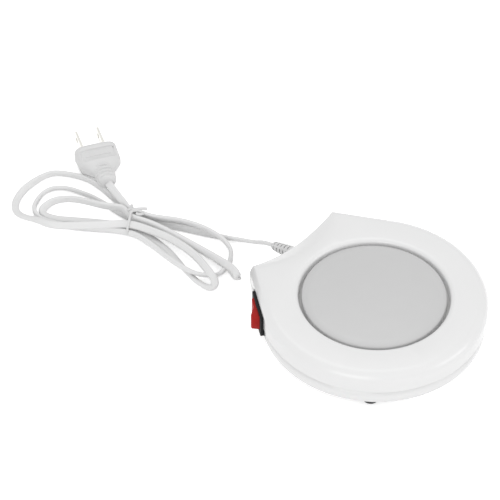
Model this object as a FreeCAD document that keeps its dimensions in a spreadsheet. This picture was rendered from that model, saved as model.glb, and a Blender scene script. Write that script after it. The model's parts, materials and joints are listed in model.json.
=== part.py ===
import FreeCAD, Part
import math
import os
import re
import Sketcher

# Electric mug warmer: a round white case with two rear horns, a grey heating plate in its top,
# a rocker switch on the left flank and a flat two-core cord wound in a tied hank behind it.
# Millimetres, +Z up. The origin is on the floor under the plate's centre; the cord leaves to +Y.

V = FreeCAD.Vector
Z_AXIS = V(0, 0, 1)

# Driving dimensions
sizes = {
    # case
    "body_radius": 60.0,
    "horn_half_width": 32.7,
    "horn_overhang": 0.0,
    "back_sag": 1.5,
    "body_height": 26.3,
    "seam_height": 14.4,
    "base_bottom": 4.0,
    "wall": 2.2,
    "shoulder_radius": 5.5,
    "heel_radius": 4.5,
    "base_inset": 0.6,
    "base_floor": 2.0,
    "lip_radius": 2.5,
    "scoop_radius": 51.4,
    "scoop_start": 47.9,
    "scoop_slope": 29.5,
    "rear_ceiling": 17.6,
    "rear_room": 44.0,
    # plate stack
    "recess_radius": 40.0,
    "plate_gap": 1.8,
    "plate_height": 26.0,
    "plate_edge": 2.5,
    "plate_wall": 1.6,
    "plate_skirt": 5.8,
    "ledge_top": 19.0,
    "ledge_thickness": 2.0,
    "ledge_width": 3.5,
    "collar_wall": 1.8,
    "gasket_thickness": 1.2,
    "heater_margin": 6.0,
    "heater_thickness": 1.2,
    "pad_thickness": 3.0,
    "pressure_thickness": 1.2,
    "stud_radius": 2.0,
    "stud_length": 12.4,
    "nut_radius": 3.6,
    "nut_thickness": 2.0,
    "bracket_width": 14.0,
    "bracket_thickness": 1.5,
    "bracket_top": 16.2,
    "bracket_post_reach": 46.5,
    "bracket_post_radius": 3.4,
    # fasteners and feet
    "front_post_x": 37.8,
    "front_post_y": 34.0,
    "rear_post_x": 22.0,
    "rear_post_y": 47.0,
    "post_radius": 4.2,
    "screw_radius": 1.45,
    "screw_fit": 0.06,
    "screw_head_radius": 2.7,
    "screw_head_height": 1.8,
    "foot_radius": 4.3,
    "foot_plug": 1.0,
    "vent_count": 10.0,
    "vent_reach": 28.0,
    "vent_length": 12.0,
    "vent_width": 3.0,
    # switch
    "switch_along": 9.0,
    "switch_inset": 1.1,
    "switch_height": 14.5,
    "bezel_length": 22.4,
    "bezel_height": 13.8,
    "bezel_thickness": 2.4,
    "bezel_corner": 2.0,
    "housing_length": 18.8,
    "housing_height": 12.2,
    "housing_depth": 14.6,
    "housing_wall": 1.2,
    "rocker_length": 14.8,
    "rocker_height": 9.2,
    "rocker_valley": 2.8,
    "rocker_crest": 4.0,
    "rocker_lean": 14.0,
    "rocker_clearance": 0.3,
    "pivot_radius": 1.1,
    "pivot_fit": 0.05,
    # cord
    "cord_radius": 1.6,
    "cord_width": 4.2,
    "cord_thickness": 2.3,
    "relief_length": 15.6,
    "relief_radius": 3.7,
    "relief_tip": 2.5,
    "relief_droop": 16.0,
    "relief_neck": 2.8,
    "plug_width": 25.0,
    "blade_spacing": 12.7,
    "blade_length": 16.5,
    "blade_width": 6.3,
    "blade_thickness": 1.5,
    "tie_width": 3.2,
    "tie_thickness": 0.7,
}

# Sizes that follow the case's radius and the plate's recess
sizes["horn_reach"] = sizes["body_radius"] + sizes["horn_overhang"]
sizes["switch_flat"] = sizes["body_radius"] - sizes["switch_inset"]
sizes["heater_radius"] = sizes["recess_radius"] - sizes["heater_margin"]

doc = FreeCAD.newDocument("MugWarmer")
sheet = doc.addObject("Spreadsheet::Sheet", "Sizes")
for row, (name, number) in enumerate(sizes.items(), 1):
    sheet.set("A%d" % row, name)
    sheet.set("B%d" % row, str(number))
    sheet.setAlias("B%d" % row, name)
doc.recompute()

nodes = []


def expression(text):
    """Name the sheet before each of its words."""
    return re.sub(r"[a-z][a-z_]+", lambda found: "Sizes." + found[0] if found[0] in sizes else found[0], text)


def value(text):
    """Number that an expression in the sheet's words comes to."""
    number = sheet.evalExpression(expression(str(text)))
    return float(getattr(number, "Value", number))


def bind(thing, **texts):
    """Bind an object's properties to expressions in the sheet's words."""
    for key, text in texts.items():
        thing.setExpression(key, expression(str(text)))
    return thing


def put(thing, x="0", y="0", z="0"):
    """Bind where an object stands."""
    for key, text in zip("xyz", (x, y, z)):
        thing.setExpression("Placement.Base." + key, expression(str(text)))
    return thing


def box(name, length, width, height, x="0", y="0", z="0"):
    """Box centred on x and y, standing on z."""
    thing = bind(doc.addObject("Part::Box", name), Length=length, Width=width, Height=height)
    return put(thing, "(%s) - (%s) / 2" % (x, length), "(%s) - (%s) / 2" % (y, width), z)


def cylinder(name, radius, height, x="0", y="0", z="0", turn=None):
    """Cylinder along Z, or turned as told."""
    thing = bind(doc.addObject("Part::Cylinder", name), Radius=radius, Height=height)
    if turn:
        thing.Placement.Rotation = turn
    return put(thing, x, y, z)


def fuse(name, pieces):
    thing = doc.addObject("Part::MultiFuse", name)
    thing.Shapes = pieces
    return thing


def cut(name, base, tools):
    thing = doc.addObject("Part::Cut", name)
    thing.Base = base
    thing.Tool = tools[0] if len(tools) == 1 else fuse(name + "_tools", tools)
    return thing


def group(name, pieces):
    thing = doc.addObject("Part::Compound", name)
    thing.Links = pieces
    return thing


def node(label, thing):
    """Keep an object as one named piece of the assembly."""
    thing.Label = label
    nodes.append(thing)
    return thing


# Sketch helpers

def plane_of(body, role):
    return [item for item in body.Origin.OriginFeatures if item.Role == role][0]


def new_sketch(body, name, role="XY_Plane", lift=None):
    sketch = body.newObject("Sketcher::SketchObject", name)
    sketch.AttachmentSupport = (plane_of(body, role), "")
    sketch.MapMode = "FlatFace"
    if lift:
        sketch.setExpression("AttachmentOffset.Base.z", expression(lift))
    return sketch


def fix_point(sketch, geometry, end, x, y):
    """Hold a point at x, y given in the sheet's words."""
    for kind, text in (("DistanceX", x), ("DistanceY", y)):
        if text == "0":
            axis = -2 if kind == "DistanceX" else -1
            sketch.addConstraint(Sketcher.Constraint("PointOnObject", geometry, end, axis))
        else:
            held = sketch.addConstraint(Sketcher.Constraint(kind, -1, 1, geometry, end, value(text)))
            sketch.setExpression("Constraints[%d]" % held, expression(text))


def polygon(sketch, points):
    """Closed outline through points given in the sheet's words."""
    spots = [V(value(x), value(y), 0) for x, y in points]
    count = len(spots)
    for index in range(count):
        sketch.addGeometry(Part.LineSegment(spots[index], spots[(index + 1) % count]))
    for index in range(count):
        sketch.addConstraint(Sketcher.Constraint("Coincident", index, 2, (index + 1) % count, 1))
    for index, (x, y) in enumerate(points):
        fix_point(sketch, index, 1, x, y)


def circle(sketch, radius, x="0", y="0"):
    spot = V(value(x), value(y), 0)
    ring = sketch.addGeometry(Part.Circle(spot, Z_AXIS, value(radius)))
    fix_point(sketch, ring, 3, x, y)
    held = sketch.addConstraint(Sketcher.Constraint("Radius", ring, value(radius)))
    sketch.setExpression("Constraints[%d]" % held, expression(radius))


def pad(body, sketch, length, name):
    feature = body.newObject("PartDesign::Pad", name)
    feature.Profile = sketch
    bind(feature, Length=length)
    return feature


def pocket(body, sketch, length, name, upwards=True):
    """Cut a sketch's outline, upwards from its plane unless told otherwise."""
    feature = body.newObject("PartDesign::Pocket", name)
    feature.Profile = sketch
    feature.Reversed = upwards
    bind(feature, Length=length)
    doc.recompute()
    return feature


def turned(body, sketch, name, kind="Revolution"):
    feature = body.newObject("PartDesign::" + kind, name)
    feature.Profile = sketch
    feature.ReferenceAxis = (sketch, ["V_Axis"])
    feature.Angle = 360
    return feature


def turned_piece(label, points):
    """Piece of revolution about the plate's axis, from its half section."""
    body = doc.addObject("PartDesign::Body", label)
    sketch = new_sketch(body, label + "_section", "XZ_Plane")
    polygon(sketch, points)
    turned(body, sketch, label + "_turn")
    return node(label, body)


def subtract_box(body, name, length, width, height, placement, kind="Subtractive"):
    """Box cut from a body, or added to it, where the placement puts its middle."""
    feature = body.newObject("PartDesign::%sBox" % kind, name)
    bind(feature, Length=length, Width=width, Height=height)
    middle = V(-value(length) / 2, -value(width) / 2, -value(height) / 2)
    feature.Placement = placement.multiply(FreeCAD.Placement(middle, FreeCAD.Rotation()))
    return feature


# Case outline: a circle, two flanks tangent to it that run to the horns, and a slightly hollow back

HORN_TURN = "atan(horn_half_width / horn_reach)"
HORN_DISTANCE = "sqrt(horn_half_width ^ 2 + horn_reach ^ 2)"
TANGENT_TURN = "(%s + acos(body_radius / %s))" % (HORN_TURN, HORN_DISTANCE)
BACK_RADIUS = "((horn_half_width ^ 2 + back_sag ^ 2) / (2 * back_sag))"
BACK_CENTRE = "(horn_reach - back_sag + %s)" % BACK_RADIUS


def bow(centre, radius, start, end):
    """Counterclockwise arc, its angles in radians."""
    return Part.ArcOfCircle(Part.Circle(centre, Z_AXIS, radius), start, end)


def case_outline(sketch, inset):
    """Outline of the case, moved inwards by an inset."""
    radius = "(body_radius - (%s))" % inset
    hollow = "(%s + (%s))" % (BACK_RADIUS, inset)
    turn = math.radians(value(TANGENT_TURN))
    ring = value(radius)
    bend = value(hollow)
    touch = V(ring * math.sin(turn), ring * math.cos(turn), 0)
    way = V(-math.cos(turn), math.sin(turn), 0)
    centre = V(0, value(BACK_CENTRE), 0)
    offset = touch - centre
    half = offset.dot(way)
    horn = touch + way * (-half - math.sqrt(half ** 2 - offset.dot(offset) + bend ** 2))
    round_turn = math.pi / 2 - turn
    back_turn = math.asin(horn.x / bend)
    arc = sketch.addGeometry(bow(V(0, 0, 0), ring, math.pi - round_turn, 2 * math.pi + round_turn))
    right = sketch.addGeometry(Part.LineSegment(touch, horn))
    back = sketch.addGeometry(bow(centre, bend, 1.5 * math.pi - back_turn, 1.5 * math.pi + back_turn))
    left = sketch.addGeometry(Part.LineSegment(V(-horn.x, horn.y, 0), V(-touch.x, touch.y, 0)))
    add = sketch.addConstraint
    add(Sketcher.Constraint("Coincident", arc, 3, -1, 1))
    add(Sketcher.Constraint("PointOnObject", back, 3, -2))
    held = [
        (add(Sketcher.Constraint("Radius", arc, ring)), radius),
        (add(Sketcher.Constraint("Radius", back, bend)), hollow),
        (add(Sketcher.Constraint("DistanceY", -1, 1, back, 3, centre.y)), BACK_CENTRE),
        (add(Sketcher.Constraint("DistanceX", -1, 1, arc, 2, touch.x)),
         "%s * sin%s" % (radius, TANGENT_TURN)),
        (add(Sketcher.Constraint("DistanceX", arc, 1, -1, 1, touch.x)),
         "%s * sin%s" % (radius, TANGENT_TURN)),
    ]
    add(Sketcher.Constraint("Tangent", arc, 2, right, 1))
    add(Sketcher.Constraint("Tangent", arc, 1, left, 2))
    add(Sketcher.Constraint("Coincident", right, 2, back, 2))
    add(Sketcher.Constraint("Coincident", left, 1, back, 1))
    for number, text in held:
        sketch.setExpression("Constraints[%d]" % number, expression(text))


def edges_where(feature, test):
    """Names of a feature's edges that pass a test."""
    return ["Edge%d" % number for number, edge in enumerate(feature.Shape.Edges, 1) if test(edge)]


def flat_at(edge, height):
    return abs(edge.BoundBox.ZMin - height) < 0.01 and abs(edge.BoundBox.ZMax - height) < 0.01


def fillet(body, base, names, radius, name):
    feature = body.newObject("PartDesign::Fillet", name)
    feature.Base = (base, names)
    bind(feature, Radius=radius)
    doc.recompute()
    return feature


# Where the switch sits: its own X runs back along the flank, its Y points out of the case

horn_spread = sizes["horn_half_width"]
horn_far = sizes["horn_reach"]
flank = math.atan2(horn_spread, horn_far)
flank += math.acos(sizes["body_radius"] / math.hypot(horn_spread, horn_far))
flank_along = V(math.cos(flank), math.sin(flank), 0)
flank_out = V(-math.sin(flank), math.cos(flank), 0)


def on_flank(along, out, height):
    """Placement at a spot of the left flank, from the plate's axis."""
    spot = flank_along * along + flank_out * out + Z_AXIS * height
    return FreeCAD.Placement(spot, FreeCAD.Rotation(Z_AXIS, math.degrees(flank)))


switch_place = on_flank(sizes["switch_along"], sizes["switch_flat"], sizes["switch_height"])

# Case posts: two in front over the front feet, two behind in the horns
post_spots = [(side + "%s_post_x" % row, way + "%s_post_y" % row)
              for row, way in (("front", "-"), ("rear", "")) for side in ("-", "")]


def cut_switch_seat(body):
    """Flat seat for the switch's flange, and the window for its housing."""
    seat_depth = 4.0
    middle = on_flank(sizes["switch_along"], sizes["switch_flat"] + seat_depth / 2, sizes["switch_height"])
    subtract_box(body, "switch_seat", "bezel_length + 0.8", str(seat_depth), "bezel_height + 0.8", middle)
    window = on_flank(sizes["switch_along"], sizes["switch_flat"], sizes["switch_height"])
    subtract_box(body, "switch_window", "housing_length + 0.3", "2 * housing_depth + 1", "housing_height + 0.3",
                 window)


def add_switch_pad(body, low, high, inset):
    """Thicker wall behind the switch's seat, between two heights."""
    deep = 2.6
    tall = "(%s) - (%s)" % (high, low)
    inner = value("switch_flat") - deep / 2 + inset
    middle = on_flank(sizes["switch_along"], inner, (value(low) + value(high)) / 2)
    subtract_box(body, "switch_pad", "bezel_length + 4", str(deep), tall, middle, "Additive")


def relief_hole(body):
    """Round hole at the seam for the strain relief's neck."""
    hole = body.newObject("PartDesign::SubtractiveCylinder", "relief_hole")
    bind(hole, Radius="relief_neck + 0.1", Height="14")
    hole.Placement = FreeCAD.Placement(V(0, value("horn_reach - back_sag") - 10, value("seam_height")),
                                       FreeCAD.Rotation(V(1, 0, 0), -90))


def top_cover():
    body = doc.addObject("PartDesign::Body", "top_cover")
    outline = new_sketch(body, "top_outline", lift="seam_height")
    case_outline(outline, "0")
    block = pad(body, outline, "body_height - seam_height", "top_block")
    doc.recompute()
    top = value("body_height")
    back = value("horn_reach - back_sag") - 1
    shoulder = edges_where(block, lambda edge: flat_at(edge, top) and edge.CenterOfMass.y < back)
    fillet(body, block, shoulder, "shoulder_radius", "shoulder")

    # scooped back: a cone about an upright axis behind the case
    scoop = new_sketch(body, "scoop_section", "YZ_Plane")
    axis_y = "(scoop_start + scoop_radius)"
    rise = "9"
    reach = "24"
    soft = "7"
    polygon(scoop, [
        (axis_y + " - scoop_radius - 4", "body_height + 0.01"),
        (axis_y + " - scoop_radius + 1", "body_height - 0.8"),
        (axis_y + " - scoop_radius + " + soft, "body_height - 0.8 - 6 * tan(scoop_slope * 0.93)"),
        (axis_y + " - scoop_radius + " + reach,
         "body_height - 0.8 - 6 * tan(scoop_slope * 0.93) - 17 * tan(scoop_slope)"),
        (axis_y + " - scoop_radius + " + reach, "body_height + " + rise),
        (axis_y + " - scoop_radius - 4", "body_height + " + rise),
    ])
    upright = scoop.addGeometry(Part.LineSegment(V(value(axis_y), 0, 0), V(value(axis_y), 10, 0)), True)
    scoop.addConstraint(Sketcher.Constraint("Vertical", upright))
    fix_point(scoop, upright, 1, axis_y, "0")
    groove = body.newObject("PartDesign::Groove", "scoop")
    groove.Profile = scoop
    groove.ReferenceAxis = (scoop, ["Axis0"])
    groove.Angle = 360
    doc.recompute()

    # room inside: low under the whole cover, high in front of the scoop
    low_room = new_sketch(body, "low_room", lift="seam_height")
    case_outline(low_room, "wall")
    pocket(body, low_room, "rear_ceiling - seam_height", "low_space")
    high_room = new_sketch(body, "high_room", lift="seam_height")
    room = value("body_radius - 3.2")
    chord = value("rear_room")
    side = math.sqrt(room ** 2 - chord ** 2)
    turn = math.acos(side / room)
    arc = high_room.addGeometry(bow(V(0, 0, 0), room, math.pi - turn, 2 * math.pi + turn))
    line = high_room.addGeometry(Part.LineSegment(V(side, chord, 0), V(-side, chord, 0)))
    fix_point(high_room, arc, 3, "0", "0")
    high_room.addConstraint(Sketcher.Constraint("Coincident", line, 1, arc, 2))
    high_room.addConstraint(Sketcher.Constraint("Coincident", line, 2, arc, 1))
    high_room.addConstraint(Sketcher.Constraint("Horizontal", line))
    held = high_room.addConstraint(Sketcher.Constraint("Radius", arc, room))
    high_room.setExpression("Constraints[%d]" % held, expression("body_radius - 3.2"))
    held = high_room.addConstraint(Sketcher.Constraint("DistanceY", -1, 1, line, 1, chord))
    high_room.setExpression("Constraints[%d]" % held, expression("rear_room"))
    circle(high_room, "recess_radius + collar_wall")
    pocket(body, high_room, "body_height - wall - seam_height", "high_space")

    # recess for the plate, with the ledge that carries its gasket
    recess = new_sketch(body, "recess_section", "XZ_Plane")
    polygon(recess, [
        ("0", "seam_height - 1"),
        ("recess_radius + collar_wall", "seam_height - 1"),
        ("recess_radius + collar_wall", "ledge_top - ledge_thickness"),
        ("recess_radius - ledge_width", "ledge_top - ledge_thickness"),
        ("recess_radius - ledge_width", "ledge_top"),
        ("recess_radius", "ledge_top"),
        ("recess_radius", "body_height + 1"),
        ("0", "body_height + 1"),
    ])
    cavity = turned(body, recess, "recess", "Groove")
    doc.recompute()
    lip = edges_where(cavity, lambda edge: flat_at(edge, top)
                      and abs(edge.BoundBox.XLength - 2 * value("recess_radius")) < 1)
    fillet(body, cavity, lip, "lip_radius", "lip")

    # posts for the bracket and the case screws, with their pilot holes
    bracket_posts = new_sketch(body, "bracket_posts", lift="bracket_top")
    for side in ("-", ""):
        circle(bracket_posts, "bracket_post_radius", side + "bracket_post_reach", "0")
    pad(body, bracket_posts, "body_height - wall - bracket_top + 0.5", "bracket_post_pads")
    case_posts = new_sketch(body, "case_posts", lift="seam_height")
    for x, y in post_spots[:2]:
        circle(case_posts, "post_radius - 0.8", x, y)
    pad(body, case_posts, "body_height - wall - seam_height + 0.5", "case_post_pads")
    rear_posts = new_sketch(body, "rear_posts", lift="seam_height")
    for x, y in post_spots[2:]:
        circle(rear_posts, "post_radius - 0.8", x, y)
    pad(body, rear_posts, "rear_ceiling - seam_height + 0.5", "rear_post_pads")
    add_switch_pad(body, "seam_height", "switch_height + bezel_height / 2 + 0.5", 0)
    cut_switch_seat(body)
    relief_hole(body)
    pilots = new_sketch(body, "pilots", lift="seam_height")
    for x, y in post_spots:
        circle(pilots, "screw_radius + screw_fit", x, y)
    pocket(body, pilots, "rear_ceiling - seam_height - 0.1", "pilot_holes")
    bracket_pilots = new_sketch(body, "bracket_pilots", lift="bracket_top")
    for side in ("-", ""):
        circle(bracket_pilots, "screw_radius + screw_fit", side + "bracket_post_reach", "0")
    pocket(body, bracket_pilots, "6", "bracket_pilot_holes")
    return node("top_cover", body)


def base_cover():
    body = doc.addObject("PartDesign::Body", "base_cover")
    outline = new_sketch(body, "base_outline", lift="base_bottom")
    case_outline(outline, "base_inset")
    block = pad(body, outline, "seam_height - base_bottom", "base_block")
    doc.recompute()
    bottom = value("base_bottom")
    heel = edges_where(block, lambda edge: flat_at(edge, bottom))
    fillet(body, block, heel, "heel_radius", "heel")

    room = new_sketch(body, "base_room", lift="base_bottom + base_floor")
    case_outline(room, "base_inset + wall")
    pocket(body, room, "seam_height", "base_space")

    # locating rim that stands up inside the top cover
    rim = new_sketch(body, "base_rim", lift="seam_height - 2")
    case_outline(rim, "wall + 0.15")
    pad(body, rim, "3.4", "rim_block")
    inside = new_sketch(body, "rim_inside", lift="base_bottom + base_floor")
    case_outline(inside, "wall + 1.5")
    pocket(body, inside, "seam_height + 4", "rim_space")

    beside_switch = on_flank(sizes["switch_along"], sizes["switch_flat"], value("seam_height") + 2)
    subtract_box(body, "rim_switch_gap", "bezel_length + 5", "12", "4", beside_switch)
    beside_relief = FreeCAD.Placement(V(0, value("horn_reach") - 6.2, value("seam_height")),
                                      FreeCAD.Rotation())
    subtract_box(body, "rim_relief_gap", "11", "3.6", "4.2", beside_relief)

    posts = new_sketch(body, "base_posts", lift="base_bottom + 1")
    for x, y in post_spots:
        circle(posts, "post_radius", x, y)
    pad(body, posts, "seam_height - base_bottom - 1", "base_post_pads")
    clamp_posts = new_sketch(body, "clamp_posts", lift="base_bottom + 1")
    for side in ("-", ""):
        circle(clamp_posts, "2.8", side + "8", "rear_post_y")
    pad(body, clamp_posts, "13.9 - base_bottom - 1", "clamp_post_pads")
    add_switch_pad(body, "base_bottom + base_floor", "seam_height", 0)
    cut_switch_seat(body)
    relief_hole(body)

    shanks = new_sketch(body, "shank_holes", lift="base_bottom - 1")
    for x, y in post_spots:
        circle(shanks, "screw_radius + screw_fit", x, y)
    pocket(body, shanks, "seam_height", "shank_space")
    heads = new_sketch(body, "head_holes", lift="base_bottom - 1")
    for x, y in post_spots:
        circle(heads, "screw_head_radius + 0.2", x, y)
    pocket(body, heads, "1 + foot_plug + screw_head_height + 0.4", "head_space")
    seats = new_sketch(body, "foot_seats", lift="base_bottom - 1")
    for x, y in post_spots:
        circle(seats, "foot_radius + 0.05", x, y)
    pocket(body, seats, "1 + foot_plug", "foot_space")
    clamp_pilots = new_sketch(body, "clamp_pilots", lift="base_bottom + base_floor + 2")
    for side in ("-", ""):
        circle(clamp_pilots, "1.1", side + "8", "rear_post_y")
    pocket(body, clamp_pilots, "20", "clamp_pilot_holes")

    # ring of vents in the floor
    slot = new_sketch(body, "vent", lift="base_bottom - 1")
    polygon(slot, [
        ("vent_reach - vent_length / 2", "0"),
        ("vent_reach + vent_length / 2", "0"),
        ("vent_reach + vent_length / 2", "vent_width"),
        ("vent_reach - vent_length / 2", "vent_width"),
    ])
    vent = pocket(body, slot, "base_floor + 2", "vent_cut")
    ring = body.newObject("PartDesign::PolarPattern", "vent_ring")
    ring.Originals = [vent]
    ring.Axis = (slot, ["N_Axis"])
    ring.Angle = 360
    ring.setExpression("Occurrences", expression("vent_count"))
    body.Tip = ring
    return node("base_cover", body)


top_cover()
base_cover()


# Heating plate and the stack that is drawn up against it

plate_radius = "(recess_radius - plate_gap)"
plate_under = "(plate_height - 1.8)"


def heating_plate():
    body = doc.addObject("PartDesign::Body", "heating_plate")
    section = new_sketch(body, "plate_section", "XZ_Plane")
    polygon(section, [
        ("0", plate_under + " - stud_length"),
        ("stud_radius", plate_under + " - stud_length"),
        ("stud_radius", plate_under),
        (plate_radius + " - plate_wall", plate_under),
        (plate_radius + " - plate_wall", "plate_height - plate_skirt"),
        (plate_radius, "plate_height - plate_skirt"),
        (plate_radius, "plate_height"),
        ("0", "plate_height"),
    ])
    blank = turned(body, section, "plate_turn")
    doc.recompute()
    top = value("plate_height")
    rim = edges_where(blank, lambda edge: flat_at(edge, top) and edge.BoundBox.XLength > 60)
    fillet(body, blank, rim, "plate_edge", "plate_rim")
    return node("heating_plate", body)


def flat_ring(label, outer, inner, low, high):
    return turned_piece(label, [(inner, low), (outer, low), (outer, high), (inner, high)])


heater_top = plate_under + " - 0.02"
heater_low = "(%s - heater_thickness)" % heater_top
pad_low = "(%s - pad_thickness)" % heater_low
pressure_low = "(%s - pressure_thickness)" % pad_low

heating_plate()
flat_ring("plate_gasket", "recess_radius - 0.1", "recess_radius - ledge_width + 0.3",
          "ledge_top", "ledge_top + gasket_thickness")
flat_ring("heater_element", "heater_radius", "4", heater_low, heater_top)
flat_ring("insulation_pad", "heater_radius", "stud_radius + 0.3", pad_low, heater_low)
flat_ring("pressure_plate", "heater_radius - 1", "stud_radius + 0.1", pressure_low, pad_low)


def hexagon(name, radius, height, hole, x="0", y="0", z="0"):
    prism = bind(doc.addObject("Part::Prism", name + "_block"), Circumradius=radius, Height=height)
    prism.Polygon = 6
    put(prism, x, y, z)
    bore = cylinder(name + "_bore", hole, "(%s) + 2" % height, x, y, "(%s) - 1" % z)
    return cut(name, prism, [bore])


stack_nut = hexagon("stack_nut", "nut_radius", "nut_thickness", "stud_radius + 0.05",
                    z=pressure_low + " - nut_thickness")
bracket_nut = hexagon("bracket_nut", "nut_radius", "nut_thickness", "stud_radius + 0.05",
                      z="bracket_top - bracket_thickness - nut_thickness")
node("stud_nuts", group("stud_nuts", [stack_nut, bracket_nut]))


def support_bracket():
    """Steel strap across the recess, screwed up to the two bracket posts."""
    low = "bracket_top - bracket_thickness"
    strap = box("strap", "2 * bracket_post_reach + 8", "bracket_width", "bracket_thickness", z=low)
    holes = [cylinder("strap_hole", "stud_radius + 0.1", "10", z=low + " - 4")]
    for side in ("-", ""):
        holes.append(cylinder("strap_end_hole", "screw_radius + 0.1", "10", side + "bracket_post_reach",
                              "0", low + " - 4"))
    return node("support_bracket", cut("bracket", strap, holes))


support_bracket()


def screw(name, length, x, y, z):
    """Pan-head screw that points upwards, with its head's outer face at z."""
    head = cylinder(name + "_head", "screw_head_radius", "screw_head_height", x, y, z)
    shank = cylinder(name + "_shank", "screw_radius", length, x, y, z)
    slot = box(name + "_slot", "3.4", "0.7", "1.4", x, y, "(%s) - 0.7" % z)
    return cut(name, fuse(name + "_blank", [head, shank]), [slot])


case_screws = [screw("case_screw_%d" % number, "rear_ceiling - base_bottom - foot_plug - 0.6", x, y,
                     "base_bottom + foot_plug + 0.2") for number, (x, y) in enumerate(post_spots, 1)]
node("case_screws", group("case_screw_group", case_screws))
bracket_screws = [screw("bracket_screw_%d" % number, "screw_head_height + 6.5",
                        side + "bracket_post_reach", "0",
                        "bracket_top - bracket_thickness - screw_head_height")
                  for number, side in ((1, "-"), (2, ""))]
node("bracket_screws", group("bracket_screw_group", bracket_screws))


def foot(label, x, y):
    """Rubber foot with a plug that fills the screw's seat and a hollow under its tread."""
    body = doc.addObject("PartDesign::Body", label)
    section = new_sketch(body, label + "_section", "XZ_Plane")
    polygon(section, [
        ("0", "0.8"),
        ("foot_radius - 1.6", "0.8"),
        ("foot_radius - 1.6", "0"),
        ("foot_radius - 0.5", "0"),
        ("foot_radius", "0.6"),
        ("foot_radius", "base_bottom + foot_plug"),
        ("0", "base_bottom + foot_plug"),
    ])
    turned(body, section, label + "_turn")
    put(body, x, y)
    return node(label, body)


foot_names = ("foot_front_left", "foot_front_right", "foot_rear_left", "foot_rear_right")
for foot_name, (foot_x, foot_y) in zip(foot_names, post_spots):
    foot(foot_name, foot_x, foot_y)


# Rocker switch, built about its own seat: X along the flank, Y outwards, Z up

def switch_housing():
    flange = box("flange", "bezel_length", "bezel_thickness", "bezel_height", y="bezel_thickness / 2",
                 z="-bezel_height / 2")
    rounded = doc.addObject("Part::Fillet", "flange_rounded")
    rounded.Base = flange
    doc.recompute()
    upright = [number for number, edge in enumerate(flange.Shape.Edges, 1)
               if edge.BoundBox.YLength > 2 and edge.BoundBox.XLength < 0.1 and edge.BoundBox.ZLength < 0.1]
    rounded.Edges = [(number, sizes["bezel_corner"], sizes["bezel_corner"]) for number in upright]
    barrel = box("barrel", "housing_length", "housing_depth", "housing_height", y="-housing_depth / 2",
                 z="-housing_height / 2")
    window = box("window", "rocker_length + 2 * rocker_clearance", "housing_depth + bezel_thickness + 1",
                 "rocker_height + 2 * rocker_clearance",
                 y="(bezel_thickness + 1 - housing_depth + 2 * housing_wall) / 2",
                 z="-rocker_height / 2 - rocker_clearance")
    pin_hole = cylinder("pin_hole", "pivot_radius + pivot_fit", "rocker_height + 2.6", y="pivot_radius",
                        z="-rocker_height / 2 - 1.3")
    slots = [box("blade_slot_%d" % number, "0.9", "10", "4.9", x=x, y="-housing_depth", z="-3.45")
             for number, x in enumerate(("0", "6"), 1)]
    tools = [window, pin_hole] + slots
    housing = cut("switch_housing", fuse("housing_blank", [rounded, barrel]), tools)
    housing.Placement = switch_place
    return node("switch_housing", housing)


def rocker():
    """Red rocker with a valley across its face, held tipped with its front half out."""
    half = value("rocker_length") / 2
    tall = value("rocker_height")
    crest = value("rocker_crest")
    valley = value("rocker_valley")
    face = [V(-half, -1.2, 0), V(-half + 0.4, crest - 0.6, 0), V(-half + 1.4, crest, 0), V(0, valley, 0),
            V(half - 1.4, crest, 0), V(half - 0.4, crest - 0.6, 0), V(half, -1.2, 0), V(3, -3.4, 0),
            V(-3, -3.4, 0)]
    outline = Part.makePolygon(face + face[:1])
    blank = doc.addObject("Part::Feature", "rocker_blank")
    blank.Shape = Part.Face(outline).extrude(V(0, 0, tall))
    blank.Placement.Base = V(0, 0, -tall / 2)
    pins = cylinder("rocker_pins", "pivot_radius", "rocker_height + 2.2", z="-rocker_height / 2 - 1.1")
    socket = cylinder("plunger_socket", "1.5", "4", y="-4", turn=FreeCAD.Rotation(V(1, 0, 0), -90))
    piece = cut("rocker", fuse("rocker_fused", [blank, pins]), [socket])
    lean = FreeCAD.Rotation(Z_AXIS, -sizes["rocker_lean"])
    at_pivot = FreeCAD.Placement(V(0, sizes["pivot_radius"], 0), lean)
    piece.Placement = switch_place.multiply(at_pivot)
    return node("rocker", piece), switch_place.multiply(at_pivot)


def placed_group(label, pieces, place):
    """Node of pieces drawn about the switch's seat, or about another place."""
    whole = group(label + "_group", pieces)
    whole.Placement = place
    return node(label, whole)


switch_housing()
rocker_piece, rocker_place = rocker()
lying = FreeCAD.Rotation(V(1, 0, 0), -90)
ball = put(bind(doc.addObject("Part::Sphere", "plunger_ball"), Radius="1"), y="-6")
plunger_body = cylinder("plunger_body", "1", "4", y="-6", turn=lying)
placed_group("switch_plunger", [fuse("plunger_pin", [plunger_body, ball])],
             rocker_place)


def contact_lever():
    """Brass see-saw contact, tipped the other way from the rocker."""
    bar = box("lever_bar", "12.6", "0.6", "4", y="-6.35", z="-2")
    knee = box("lever_foot", "1.2", "1.0", "4", y="-7.05", z="-2")
    roll = cylinder("lever_roll", "0.5", "4", y="-7.6", z="-2")
    lever = fuse("contact_lever", [bar, knee, roll])
    tip = FreeCAD.Placement(V(0, 0, 0), FreeCAD.Rotation(Z_AXIS, 5), V(0, -7.6, 0))
    lever.Placement = switch_place.multiply(tip)
    return node("contact_lever", lever)


contact_lever()

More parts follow.
